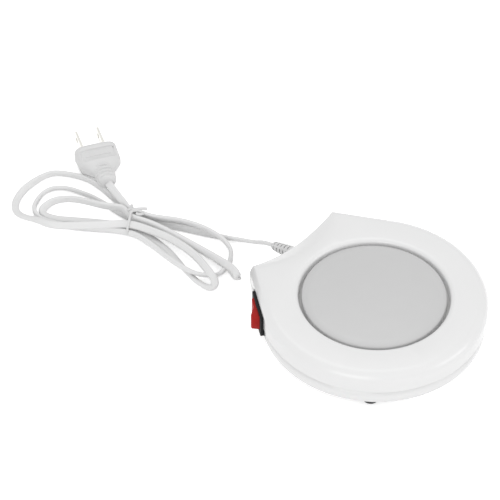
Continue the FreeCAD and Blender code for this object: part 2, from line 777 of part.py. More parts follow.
terminals = [box("centre_terminal", "0.8", "14.2", "4.8", y="-8.15 - 7.1", z="-3.4"),
             box("end_terminal", "0.8", "14.9", "4.8", x="6", y="-7.45 - 7.45", z="-3.4")]
placed_group("switch_terminals", terminals, switch_place)
sleeves = []
for number, sleeve_x in enumerate(("0", "6"), 1):
    shell = box("sleeve_shell_%d" % number, "3.4", "8", "6.4", x=sleeve_x, y="-housing_depth - 4.4", z="-4.2")
    hollow = box("sleeve_hollow_%d" % number, "1.0", "8.2", "5.0", x=sleeve_x, y="-housing_depth - 3.9", z="-3.5")
    sleeves.append(cut("sleeve_%d" % number, shell, [hollow]))
placed_group("push_on_terminals", sleeves, switch_place)


# Thermostat under the pressure plate, and the thermal fuse beside it

def thermostat():
    cap = cylinder("thermostat_cap", "8", "2.4", y="-21", z=pressure_low + " - 2.4")
    case = cylinder("thermostat_case", "7", "5", y="-21", z=pressure_low + " - 7.4")
    blades = [box("thermostat_blade_%d" % number, "9", "0.8", "0.8", x=x, y="-21", z=pressure_low + " - 7.9")
              for number, x in ((1, "-8"), (2, "8"))]
    return node("thermostat", fuse("thermostat_fused", [cap, case] + blades))


def thermostat_clip():
    strap = box("clip_strap", "26", "6", "0.8", y="-21", z=pressure_low + " - 0.8")
    hole = cylinder("clip_hole", "8.1", "4", y="-21", z=pressure_low + " - 2")
    return node("thermostat_clip", cut("thermostat_clip", strap, [hole]))


thermostat()
thermostat_clip()
along_x = FreeCAD.Rotation(V(0, 1, 0), 90)
fuse_core = cylinder("fuse_core", "1.9", "11", x="-5.5", y="20", z=pressure_low + " - 3.3", turn=along_x)
fuse_leads = cylinder("fuse_leads", "0.5", "19", x="-9.5", y="20", z=pressure_low + " - 3.3", turn=along_x)
node("thermal_fuse", fuse("fuse_fused", [fuse_core, fuse_leads]))
sleeve_outer = cylinder("sleeve_outer", "2.8", "15", x="-7.5", y="20", z=pressure_low + " - 3.3", turn=along_x)
sleeve_inner = cylinder("sleeve_inner", "2.1", "16", x="-8", y="20", z=pressure_low + " - 3.3", turn=along_x)
node("fuse_sleeve", cut("fuse_sleeve", sleeve_outer, [sleeve_inner]))


# Tubes along a route: straight runs joined by tangent arcs

def route_wire(points, report):
    """Wire through points, with each corner an arc as large as its two runs allow."""
    spots = [V(*point) for point in points]
    edges = []
    radii = []
    start = spots[0]
    for before, corner, after in zip(spots, spots[1:], spots[2:]):
        way_in = (corner - before).normalize()
        way_out = (after - corner).normalize()
        half_turn = way_in.getAngle(way_out) / 2
        setback = 0.45 * min((corner - before).Length, (after - corner).Length)
        radii.append(setback / math.tan(half_turn))
        arc_start = corner - way_in * setback
        arc_end = corner + way_out * setback
        inwards = (way_out - way_in).normalize()
        middle = corner + inwards * (setback / math.sin(half_turn) * (1 / math.cos(half_turn) - 1)
                                     * math.cos(half_turn))
        edges.append(Part.LineSegment(start, arc_start).toShape())
        edges.append(Part.Arc(arc_start, middle, arc_end).toShape())
        start = arc_end
    edges.append(Part.LineSegment(start, spots[-1]).toShape())
    wire = Part.Wire(edges)
    print("%s: length %.1f, radii %s" % (report, wire.Length, " ".join("%.1f" % radius for radius in radii)))
    return wire


def tube(label, wire, radius):
    """Round tube along a wire, with its volume compared with section times length."""
    first = wire.Edges[0]
    ring = Part.Wire(Part.Circle(first.firstVertex().Point, first.tangentAt(first.FirstParameter),
                                 radius).toShape())
    solid = wire.makePipeShell([ring], True, False)
    expected = math.pi * radius ** 2 * wire.Length
    print("%s: volume %.1f of %.1f" % (label, solid.Volume, expected))
    piece = doc.addObject("Part::Feature", label)
    piece.Shape = solid
    return node(label, piece)


wire_radius = 0.9
terminal_end = [switch_place.multVec(V(x, -sizes["housing_depth"] - 8.6, -1)) for x in (0, 6)]
centre_spot, end_spot = [(spot.x, spot.y, spot.z) for spot in terminal_end]
tube("live_wire", route_wire([(-1.1, 40.82, 12.8), (-1.8, 33.0, 10.4), (-8.0, 29.0, 9.6),
                              (end_spot[0] + 7.2, end_spot[1] - 4.0, end_spot[2] - 1.5), end_spot],
                             "live_wire"), wire_radius)
tube("neutral_wire", route_wire([(1.1, 40.82, 12.8), (2.2, 33.0, 10.4), (7.5, 26.5, 9.2),
                                 (12.5, 25.0, 9.0), (17.0, 25.0, 9.0)],
                                "neutral_wire"), wire_radius)
tube("switched_wire", route_wire([centre_spot, (centre_spot[0] + 5.4, centre_spot[1] - 3.0, centre_spot[2] - 2.0),
                                  (-17.5, 16.0, 9.6), (-17.0, 6.0, 9.2), (-17.5, -5.0, 9.2), (-15.6, -14.0, 10.4),
                                  (-13.4, -20.0, value(pressure_low) - 7.5)], "switched_wire"), wire_radius)
tube("heater_link_wire", route_wire([(13.4, -20.0, value(pressure_low) - 7.5), (17.5, -13.0, 9.6),
                                     (18.5, 0.0, 9.0), (16.5, 11.0, 10.4), (12.6, 18.0, 13.4),
                                     (9.9, 20.0, value(pressure_low) - 3.3)], "heater_link_wire"), wire_radius)

connector_shell = cylinder("connector_shell", "2.4", "9", x="17", y="25", z="9",
                           turn=FreeCAD.Rotation(V(0, 1, 0), 90))
node("closed_end_connector", group("connector_group", [connector_shell]))


# Cord clamp on its two posts, just inside the strain relief

clamp_low = 14.4


def cord_clamp():
    bar = box("clamp_bar", "21", "6", "1.6", y="rear_post_y", z=str(clamp_low))
    holes = [cylinder("clamp_hole_%s" % word, "1.15", "4", side + "8", "rear_post_y", str(clamp_low - 1))
             for word, side in (("left", "-"), ("right", ""))]
    return node("cord_clamp", cut("cord_clamp", bar, holes))


cord_clamp()
clamp_screws = []
for word, side in (("left", "-"), ("right", "")):
    head = cylinder("clamp_head_" + word, "2.2", "1.2", side + "8", "rear_post_y", str(clamp_low + 1.6))
    shank = cylinder("clamp_shank_" + word, "1.05", "7", side + "8", "rear_post_y", str(clamp_low - 5.4))
    clamp_screws.append(fuse("clamp_screw_" + word, [head, shank]))
node("clamp_screws", group("clamp_screw_group", clamp_screws))


# Strain relief: flange and neck in the back wall, then a drooping ribbed taper

wall_y = "(horn_reach - back_sag)"


def strain_relief():
    flange = box("relief_flange", "9.6", "2", "5.6", y=wall_y + " - wall - base_inset - 1.2",
                 z="seam_height - 2.8")
    neck = cylinder("relief_neck_piece", "relief_neck", "wall + base_inset + 1.4", y=wall_y + " - wall - base_inset - 0.6",
                    z="seam_height", turn=lying)
    taper = bind(doc.addObject("Part::Cone", "relief_taper"), Radius1="relief_radius", Radius2="relief_tip",
                 Height="relief_length")
    droop = FreeCAD.Rotation(V(1, 0, 0), -90 - sizes["relief_droop"])
    start = V(0, value(wall_y) + 0.9, value("seam_height"))
    taper.Placement = FreeCAD.Placement(start, droop)
    slits = []
    for number in range(4):
        for side in (-1, 1):
            step = 2.6 + 3.0 * number + (1.5 if side > 0 else 0)
            slit = box("slit_%d_%d" % (number, side + 1), "3.6", "9", "1.0")
            slit.Placement = FreeCAD.Placement(start, droop).multiply(
                FreeCAD.Placement(V(side * 2.2 - 1.8, -4.5, step), FreeCAD.Rotation()))
            slits.append(slit)
    root = cylinder("relief_root", "relief_radius", "0.9", y=wall_y + " + 0.1", z="seam_height", turn=lying)
    blank = fuse("relief_blank", [flange, neck, taper, root])
    tip = FreeCAD.Placement(start, droop).multVec(V(0, 0, sizes["relief_length"]))
    return node("strain_relief", cut("strain_relief", blank, slits)), tip


relief, relief_end = strain_relief()
core_start = "41"
core_end = "(%s - wall - base_inset - 2.2)" % wall_y
core = box("inner_cord_core", "cord_width", "%s - %s" % (core_end, core_start), "cord_thickness",
           y="(%s + %s) / 2" % (core_start, core_end), z="13.25 - cord_thickness / 2")
node("inner_cord", group("inner_cord_group", [core]))
print("relief ends at", relief_end)


# Free end of the cord that leaves the relief, and the tied hank of seven strands at its waist

lead_points = [(0, relief_end.y, relief_end.z), (0, 80.6, 8.3), (-0.9, 88.0, 3.6), (-4.6, 97.5, 1.65),
               (-11.5, 108.5, 1.65), (-18.4, 121.8, 1.65), (-25.7, 135.0, 1.65)]
tube("cord_lead", route_wire(lead_points, "cord_lead"), sizes["cord_radius"])

waist = V(-38.3, 149.7, 0)
across = V(0.674, 0.739, 0)
floor_level = 1.7
waist_level = 2.6
layer = 3.8
sight = V(0.734, 0.747, 0)


def strand(offset, high):
    """Spot of one strand where the tie holds it."""
    return waist + across * offset + Z_AXIS * (waist_level + (layer if high else 0))


def loop(heading, turn, spots):
    """Spots of a loop: along its heading, beside it, and above the floor level."""
    along = V(math.cos(math.radians(heading)), math.sin(math.radians(heading)), 0)
    beside = V(along.y, -along.x, 0) * turn
    middle = waist + V(1.6, 1.6, 0)
    return [middle + along * far + beside * wide + sight * (2 - floor_level - rise)
            + Z_AXIS * (floor_level + rise) for far, wide, rise in spots]


def hank_spots():
    """Spots of the hank in the order that the cord runs, three loops to each side."""
    high = layer
    spots = [strand(7.5, False)]
    spots += loop(110, 1, [(34, 17.6, 0), (59.5, 15.2, 0), (67.6, 0.5, 0), (57.5, -22.4, 0.6),
                           (43, -21.2, high),
                           (25.4, -17.0, high)])
    spots += [strand(-5.0, True)]
    spots += loop(-92.2, -1, [(13, 0.6, 4.5), (28, 6.3, 4.3), (50, 8.0, high), (63, 4.4, 4.1), (71.6, -1.8, 1.6),
                              (57, -4.8, 0), (26, 0.6, 0)])
    spots += [strand(-2.8, False)]
    spots += loop(120, 1, [(27.6, -7.5, 0), (46.3, -8.8, 0), (50.8, 0.5, 1.2), (28.4, 8.1, high), (11, 8.6, 4.6)])
    spots += [strand(0, True)]
    spots += loop(-81.1, -1, [(12, 4.2, 4.5), (30, 6.2, 4.3), (61, 5.2, high), (75.7, 0, 3.6), (68, -2.0, high),
                              (57, 0.6, 3.6), (43, 2.4, 0.2), (29, 3.2, 0.2)])
    spots += [strand(2.1, False)]
    spots += loop(111, 1, [(34.5, 8.9, 0), (56.5, -2, 0), (47, -19.4, 0), (26, -19.0, 0)])
    spots += [strand(-7.3, False)]
    spots += loop(-77.2, -1, [(22, -11.2, 1.6), (40, -13.6, 4.4), (61.5, -9.8, 0), (66.4, 0.5, 0), (59.5, 11.3, 0.9),
                              (45, 16.6, 4.2), (20, 15.0, 4.6)])
    spots += [strand(5.6, True)]
    return spots


def headings(spots):
    """Direction at each inner spot, level where the cord is highest or lowest."""
    found = []
    for before, here, after in zip(spots, spots[1:], spots[2:]):
        back = here - before
        ahead = after - here
        way = back * (ahead.Length / back.Length) + ahead * (back.Length / ahead.Length)
        way.z = 0
        way.normalize()
        slopes = (back.z / back.Length, ahead.z / ahead.Length)
        if slopes[0] * slopes[1] > 0:
            way.z = math.copysign(min(abs(slopes[0]), abs(slopes[1])), slopes[0])
        found.append(way.normalize())
    return found


def arc_from(start, way, end):
    """Arc that leaves a spot along its way and ends at another."""
    chord = end - start
    side = chord - way * chord.dot(way)
    if side.Length < 1e-4:
        return Part.LineSegment(start, end).toShape(), [start + chord * (share / 12) for share in range(13)]
    radius = chord.Length ** 2 / (2 * side.Length)
    side.normalize()
    turn = 2 * math.atan2((chord - way * chord.dot(way)).Length, chord.dot(way))
    samples = [start + side * (radius * (1 - math.cos(turn * share / 12)))
               + way * (radius * math.sin(turn * share / 12))
               for share in range(13)]
    return Part.Arc(start, samples[6], end).toShape(), samples


def hank_wire(spots, ways):
    """Wire of two arcs between each pair of spots, and points along it."""
    edges = []
    points = []
    for start, end, way_out, way_in in zip(spots, spots[1:], ways, ways[1:]):
        chord = end - start
        both = way_out + way_in
        a = both.dot(both) - 4
        b = -2 * chord.dot(both)
        c = chord.dot(chord)
        reach = (-b - math.sqrt(b * b - 4 * a * c)) / (2 * a)
        meet = (start + way_out * reach + end - way_in * reach) * 0.5
        first, first_points = arc_from(start, way_out, meet)
        second, second_points = arc_from(end, way_in * -1, meet)
        edges += [first, second]
        points += first_points[:-1] + second_points[:0:-1]
    return edges, points + [spots[-1]]


def least_gap(points, diameter):
    """Least clear gap of a tube to itself, on points a millimetre or less apart."""
    fine = []
    travelled = 0
    for before, after in zip(points, points[1:]):
        steps = max(1, int((after - before).Length / 0.8))
        for step in range(steps):
            share = step / steps
            fine.append((before + (after - before) * share, travelled + (after - before).Length * share))
        travelled += (after - before).Length
    gap = 99
    for number, (spot, run) in enumerate(fine):
        for other, other_run in fine[number + 12:]:
            if other_run - run > 4 * diameter and abs(other.x - spot.x) < 5 and abs(other.y - spot.y) < 5:
                gap = min(gap, (other - spot).Length - diameter)
    return gap


lead_way = (V(*lead_points[-1]) - V(*lead_points[-2])).normalize()
straight = 2 * sizes["cord_radius"]
hank_start = V(*lead_points[-1])
hank_end = V(-32.4, 162.6, 6.5)
end_way = V(0.23, 1, 0).normalize()
spots = [hank_start + lead_way * straight] + hank_spots() + [hank_end - end_way * straight]
ways = [lead_way] + headings(spots) + [end_way]
hank_edges, hank_points = hank_wire(spots, ways)
hank_edges.insert(0, Part.LineSegment(hank_start, spots[0]).toShape())
hank_edges.append(Part.LineSegment(spots[-1], hank_end).toShape())
hank_route = Part.Wire(hank_edges)
print("hank: length %.1f, least gap to itself %.2f, lowest %.2f" % (
    hank_route.Length, least_gap(hank_points, straight), min(point.z for point in hank_points) - straight / 2))
tube("cord_hank", hank_route, sizes["cord_radius"])

plug_turn = 64.0
plug_face = V(-15.4, 205.0, 6.9)
plug_way = V(math.cos(math.radians(plug_turn)), math.sin(math.radians(plug_turn)), 0)
plug_back = plug_face - plug_way * 29.5
tail_points = [hank_end, hank_end + end_way * 5, plug_back - plug_way * 5, plug_back]
tube("cord_tail", route_wire([tuple(point) for point in tail_points], "cord_tail"), sizes["cord_radius"])


# Twist tie round the waist of the hank

def twist_tie():
    """Flat closed band round the strands, with its two ends twisted together beside them."""
    level = waist_level + layer / 2
    band = []
    for grow in (0.2, 0.2 + sizes["tie_thickness"]):
        foot = waist_level - sizes["cord_radius"] - grow
        crown = waist_level + layer + sizes["cord_radius"] + grow
        low = [(-9.2 - grow, foot), (9.4 + grow, foot), (9.4 + grow, 4.4), (7.8 + grow, crown),
               (-7.2 - grow, crown), (-9.2 - grow, 4.4)]
        band.append(Part.Face(Part.makePolygon([V(x, 0, z) for x, z in low + low[:1]])))
    shape = band[1].cut(band[0]).extrude(V(0, sizes["tie_width"], 0))
    shape.translate(V(0, -sizes["tie_width"] / 2, 0))
    tails = Part.makeBox(7.5, 1.4, 1.4, V(10.0, -0.7, level - 2.2))
    piece = doc.addObject("Part::Feature", "twist_tie")
    piece.Shape = shape.fuse(tails)
    turn = math.degrees(math.atan2(across.y, across.x))
    piece.Placement = FreeCAD.Placement(waist, FreeCAD.Rotation(Z_AXIS, turn))
    return node("twist_tie", piece)


twist_tie()


# Plug: its own X points out of its face, and Y across it

plug_place = FreeCAD.Placement(plug_face, FreeCAD.Rotation(Z_AXIS, plug_turn))


def plug_slab(name, length, width, height, x, chamfer):
    slab = box(name, length, width, height, x=x, z="-(%s) / 2" % height)
    soft = doc.addObject("Part::Chamfer", name + "_soft")
    soft.Base = slab
    doc.recompute()
    along = [number for number, edge in enumerate(slab.Shape.Edges, 1)
             if edge.BoundBox.XLength > 0.5 and edge.BoundBox.YLength < 0.1 and edge.BoundBox.ZLength < 0.1]
    soft.Edges = [(number, chamfer, chamfer) for number in along]
    return soft


def plug_body():
    back = FreeCAD.Rotation(V(0, 1, 0), -90)
    face = plug_slab("plug_face_slab", "3", "plug_width", "13.2", "-1.5", 2.6)
    slab = plug_slab("plug_grip_slab", "13.6", "plug_width - 1.6", "11.4", "-9.6", 2.2)
    corners = []
    for word, side in (("left", 1), ("right", -1)):
        corner = box("grip_corner_" + word, "12", "12", "14")
        turn = FreeCAD.Rotation(Z_AXIS, 45)
        corner.Placement = FreeCAD.Placement(V(-19.4, side * 14.7, 0), turn).multiply(
            FreeCAD.Placement(V(-6, -6, -7), FreeCAD.Rotation()))
        for line in "xyz":
            corner.setExpression("Placement.Base." + line, None)
        corners.append(corner)
    grip = cut("plug_grip", slab, corners)
    shoulder = bind(doc.addObject("Part::Cone", "plug_shoulder"), Radius1="6.4", Radius2="4.2", Height="11")
    shoulder.Placement = FreeCAD.Placement(V(-15.5, 0, 0), back)
    collar = cylinder("plug_collar", "cord_radius + 1.4", "3.2", x="-26.3", turn=back)
    ribs = [cylinder("plug_rib_%d" % number, str(6.6 - 0.6 * number), "1.3", x=str(-17.2 - 2.7 * number),
                     turn=back) for number in range(4)]
    grooves = [box("plug_groove_%d" % number, "1.2", "15", "0.8", x=str(-6.4 - 2.6 * number), z="4.9")
               for number in range(3)]
    seats = [box("blade_seat_" + word, "6", "blade_thickness", "blade_width", x="-3",
                 y=side + "blade_spacing / 2", z="-blade_width / 2")
             for word, side in (("left", ""), ("right", "-"))]
    blank = fuse("plug_blank", [face, grip, shoulder, collar] + ribs)
    return cut("plug_body", blank, grooves + seats)


plug = plug_body()
plug.Placement = plug_place
node("plug_body", plug)
blades = []
for word, side in (("left", ""), ("right", "-")):
    blade = box("blade_" + word, "blade_length + 6", "blade_thickness", "blade_width",
                x="(blade_length - 6) / 2", y=side + "blade_spacing / 2", z="-blade_width / 2")
    hole = cylinder("blade_hole_" + word, "1.6", "6", x="blade_length - 4.5",
                    y=side + "blade_spacing / 2 - 3", turn=lying)
    blades.append(cut("plug_blade_" + word, blade, [hole]))
placed_group("plug_blades", blades, plug_place)


doc.recompute()
problems = [thing.Name for thing in doc.Objects if "Invalid" in thing.State or "Error" in thing.State]
problems += [thing.Label for thing in nodes if thing.Shape.isNull() or not thing.Shape.isValid()]
if problems:
    raise SystemExit("failed: " + ", ".join(problems))
os.makedirs("parts", exist_ok=True)
for thing in nodes:
    thing.Shape.exportStep("parts/%s.step" % thing.Label)
    print("%-22s solids %d volume %9.1f" % (thing.Label, len(thing.Shape.Solids), thing.Shape.Volume))
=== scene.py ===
import json
import math

import bmesh
import bpy
from mathutils import Matrix, Vector


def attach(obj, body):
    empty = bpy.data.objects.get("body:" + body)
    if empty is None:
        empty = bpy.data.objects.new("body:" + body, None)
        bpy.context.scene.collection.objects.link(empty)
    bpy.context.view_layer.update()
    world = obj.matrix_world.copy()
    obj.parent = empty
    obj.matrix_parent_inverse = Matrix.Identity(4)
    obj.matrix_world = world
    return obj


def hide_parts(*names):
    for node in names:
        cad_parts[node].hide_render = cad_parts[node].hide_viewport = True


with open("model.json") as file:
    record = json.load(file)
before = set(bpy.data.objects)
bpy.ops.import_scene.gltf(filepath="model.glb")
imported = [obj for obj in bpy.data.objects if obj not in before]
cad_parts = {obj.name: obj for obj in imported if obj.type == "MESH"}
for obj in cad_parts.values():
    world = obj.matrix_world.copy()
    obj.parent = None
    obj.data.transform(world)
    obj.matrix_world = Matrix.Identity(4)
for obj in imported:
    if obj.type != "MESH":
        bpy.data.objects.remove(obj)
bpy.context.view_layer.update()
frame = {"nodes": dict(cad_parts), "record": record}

# Mug warmer: glossy white case, satin grey plate, red rocker, and a flat white cord in a tied hank.
# Lengths in the tables are millimetres, and mm turns them to the scene's metres. The camera, the studio
# and the cord's whole length are in metres already.
mm = 0.001
up = Vector((0, 0, 1))


def say(stage):
    print("mug warmer:", stage)


# Camera

camera = {
    "place": (-0.6201, -0.5380, 0.8390),
    "right": (0.7133, -0.7009, 0.0),
    "back": (-0.5069, -0.5158, 0.6907),
    "lens": 158.4,
    "sensor": 36.0,
    "clipNear": 0.05,
    "clipFar": 20,
}


def addCamera():
    lens = bpy.data.cameras.new("photoCamera")
    lens.lens = camera["lens"]
    lens.sensor_width = camera["sensor"]
    lens.clip_start = camera["clipNear"]
    lens.clip_end = camera["clipFar"]
    looker = bpy.data.objects.new("photoCamera", lens)
    right = Vector(camera["right"]).normalized()
    back = Vector(camera["back"])
    back = (back - right * back.dot(right)).normalized()
    turn = Matrix((right, back.cross(right), back)).transposed().to_4x4()
    looker.matrix_world = Matrix.Translation(Vector(camera["place"])) @ turn
    bpy.context.collection.objects.link(looker)
    bpy.context.scene.camera = looker


addCamera()
say("camera")


# Making pieces

def shadeSmooth(piece, sharpFrom):
    piece.data.shade_smooth()
    piece.data.set_sharp_from_angle(angle=math.radians(sharpFrom))


def newPiece(name, work, smooth=40):
    mesh = bpy.data.meshes.new(name)
    work.to_mesh(mesh)
    work.free()
    piece = bpy.data.objects.new(name, mesh)
    bpy.context.collection.objects.link(piece)
    shadeSmooth(piece, smooth)
    return piece


def addModifier(piece, kind, **settings):
    made = piece.modifiers.new(kind.lower(), kind)
    for name, setting in settings.items():
        setattr(made, name, setting)
    return made


def meshOf(holder):
    return bpy.data.meshes.new_from_object(holder.evaluated_get(bpy.context.evaluated_depsgraph_get()))


def applyModifiers(piece):
    shaped = meshOf(piece)
    piece.modifiers.clear()
    piece.data = shaped


def drawnOut(share, power):
    # keeps the sign, so that one curve serves all four quarters of a section
    return math.copysign(abs(share) ** power, share)


def ring(work, count, halfWidth, halfHeight, power, place):
    # one closed section: a circle drawn out to a rounded oblong, power 2 for an oval and more
    # for a squarer one
    made = bmesh.ops.create_circle(work, cap_ends=False, radius=1.0, segments=count)["verts"]
    for vert in made:
        vert.co.x = halfWidth * drawnOut(vert.co.x, 2 / power)
        vert.co.y = halfHeight * drawnOut(vert.co.y, 2 / power)
    bmesh.ops.transform(work, matrix=place, verts=made)
    return sorted({edge for vert in made for edge in vert.link_edges}, key=lambda edge: edge.index)


def loft(work, sections, count, axis):
    # sections are (distance along the axis, half width, half height, power); both ends are closed
    rings = []
    for far, halfWidth, halfHeight, power in sections:
        place = axis @ Matrix.Translation((0, 0, far * mm))
        rings.append(ring(work, count, halfWidth * mm, halfHeight * mm, power, place))
    for near, far in zip(rings, rings[1:]):
        bmesh.ops.bridge_loops(work, edges=near + far)
    for last in (rings[0], rings[-1]):
        bmesh.ops.contextual_create(work, geom=last)
    bmesh.ops.recalc_face_normals(work, faces=work.faces)


merging = {
    # distances in millimetres, angles in degrees
    "doubles": 0.002,
    "slivers": 0.001,
    "flatWithin": 1,
    "bevelFrom": 35,
    "bevelSegments": 2,
}


def fromNode(node, name, smooth, bevel=0.0):
    # a merged copy of a CAD node, with its loose triangles joined, so that it can be shaded smooth
    work = bmesh.new()
    work.from_mesh(frame["nodes"][node].data)
    bmesh.ops.remove_doubles(work, verts=work.verts, dist=merging["doubles"] * mm)
    bmesh.ops.dissolve_degenerate(work, edges=work.edges, dist=merging["slivers"] * mm)
    bmesh.ops.recalc_face_normals(work, faces=work.faces)
    if bevel:
        bmesh.ops.dissolve_limit(work, angle_limit=math.radians(merging["flatWithin"]), verts=work.verts,
                                 edges=work.edges)
    piece = newPiece(name, work, smooth)
    for layer in list(piece.data.attributes):
        if layer.name in ("custom_normal", "sharp_face"):
            piece.data.attributes.remove(layer)
    if bevel:
        addModifier(piece, "BEVEL", width=bevel * mm, segments=merging["bevelSegments"],
                    limit_method="ANGLE", angle_limit=math.radians(merging["bevelFrom"]),
                    harden_normals=False, miter_outer="MITER_ARC")
        applyModifiers(piece)
        shadeSmooth(piece, smooth)
    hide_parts(node)
    return piece


def finishPiece(piece, body, material):
    piece.data.materials.clear()
    piece.data.materials.append(material)
    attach(piece, body)
    return piece


# Materials

def toLinear(hexColour):
    parts = [int(hexColour[at:at + 2], 16) / 255 for at in (1, 3, 5)]
    return [part / 12.92 if part <= 0.04045 else ((part + 0.055) / 1.055) ** 2.4 for part in parts] + [1.0]


def addNode(material, kind, inputs=None, **settings):
    made = material.node_tree.nodes.new(kind)
    for name, setting in settings.items():
        setattr(made, name, setting)
    for name, source in (inputs or {}).items():
        if isinstance(source, bpy.types.NodeSocket):
            material.node_tree.links.new(source, made.inputs[name])
        else:
            made.inputs[name].default_value = source
    return made


def startMaterial(name, surface):
    material = bpy.data.materials.new(name)
    material.use_nodes = True
    shader = material.node_tree.nodes["Principled BSDF"]
    shader.inputs["Base Color"].default_value = toLinear(surface["colour"])
    shader.inputs["Roughness"].default_value = surface["roughness"]
    shader.inputs["Metallic"].default_value = surface.get("metallic", 0.0)
    if "ior" in surface:
        shader.inputs["IOR"].default_value = surface["ior"]
    spot = addNode(material, "ShaderNodeTexCoord").outputs["Object"]
    return material, shader, spot


def wire(material, source, target):
    material.node_tree.links.new(source, target)


def tint(material, shader, spot, surface):
    # slow drift between two near shades, as moulded or pressed stock has
    drift = addNode(material, "ShaderNodeTexNoise",
                    {"Vector": spot, "Scale": 1 / (surface["drift"] * mm), "Detail": 3.0, "Roughness": 0.5})
    shade = addNode(material, "ShaderNodeMix", {"Factor": drift.outputs["Fac"]}, data_type="RGBA")
    shade.inputs["A"].default_value = toLinear(surface["colour"])
    shade.inputs["B"].default_value = toLinear(surface["second"])
    wire(material, shade.outputs["Result"], shader.inputs["Base Color"])


def grain(material, shader, spot, surface):
    # fine relief with a slight change of roughness on it, drawn coarser than the real grain, which
    # is too fine to show
    fine = addNode(material, "ShaderNodeTexNoise",
                   {"Vector": spot, "Scale": 1 / (surface["grain"] * mm), "Detail": 2.0, "Roughness": 0.55})
    relief = addNode(material, "ShaderNodeBump",
                     {"Height": fine.outputs["Fac"], "Distance": surface["relief"] * mm, "Strength": 1.0})
    wire(material, relief.outputs["Normal"], shader.inputs["Normal"])
    rough = addNode(material, "ShaderNodeMapRange", {
        "Value": fine.outputs["Fac"], "From Min": 0.3, "From Max": 0.7,
        "To Min": surface["roughness"] - surface["roughSpread"],
        "To Max": surface["roughness"] + surface["roughSpread"]})
    wire(material, rough.outputs["Result"], shader.inputs["Roughness"])


def stockMaterial(name, surface):
    material, shader, spot = startMaterial(name, surface)
    tint(material, shader, spot, surface)
    grain(material, shader, spot, surface)
    return material


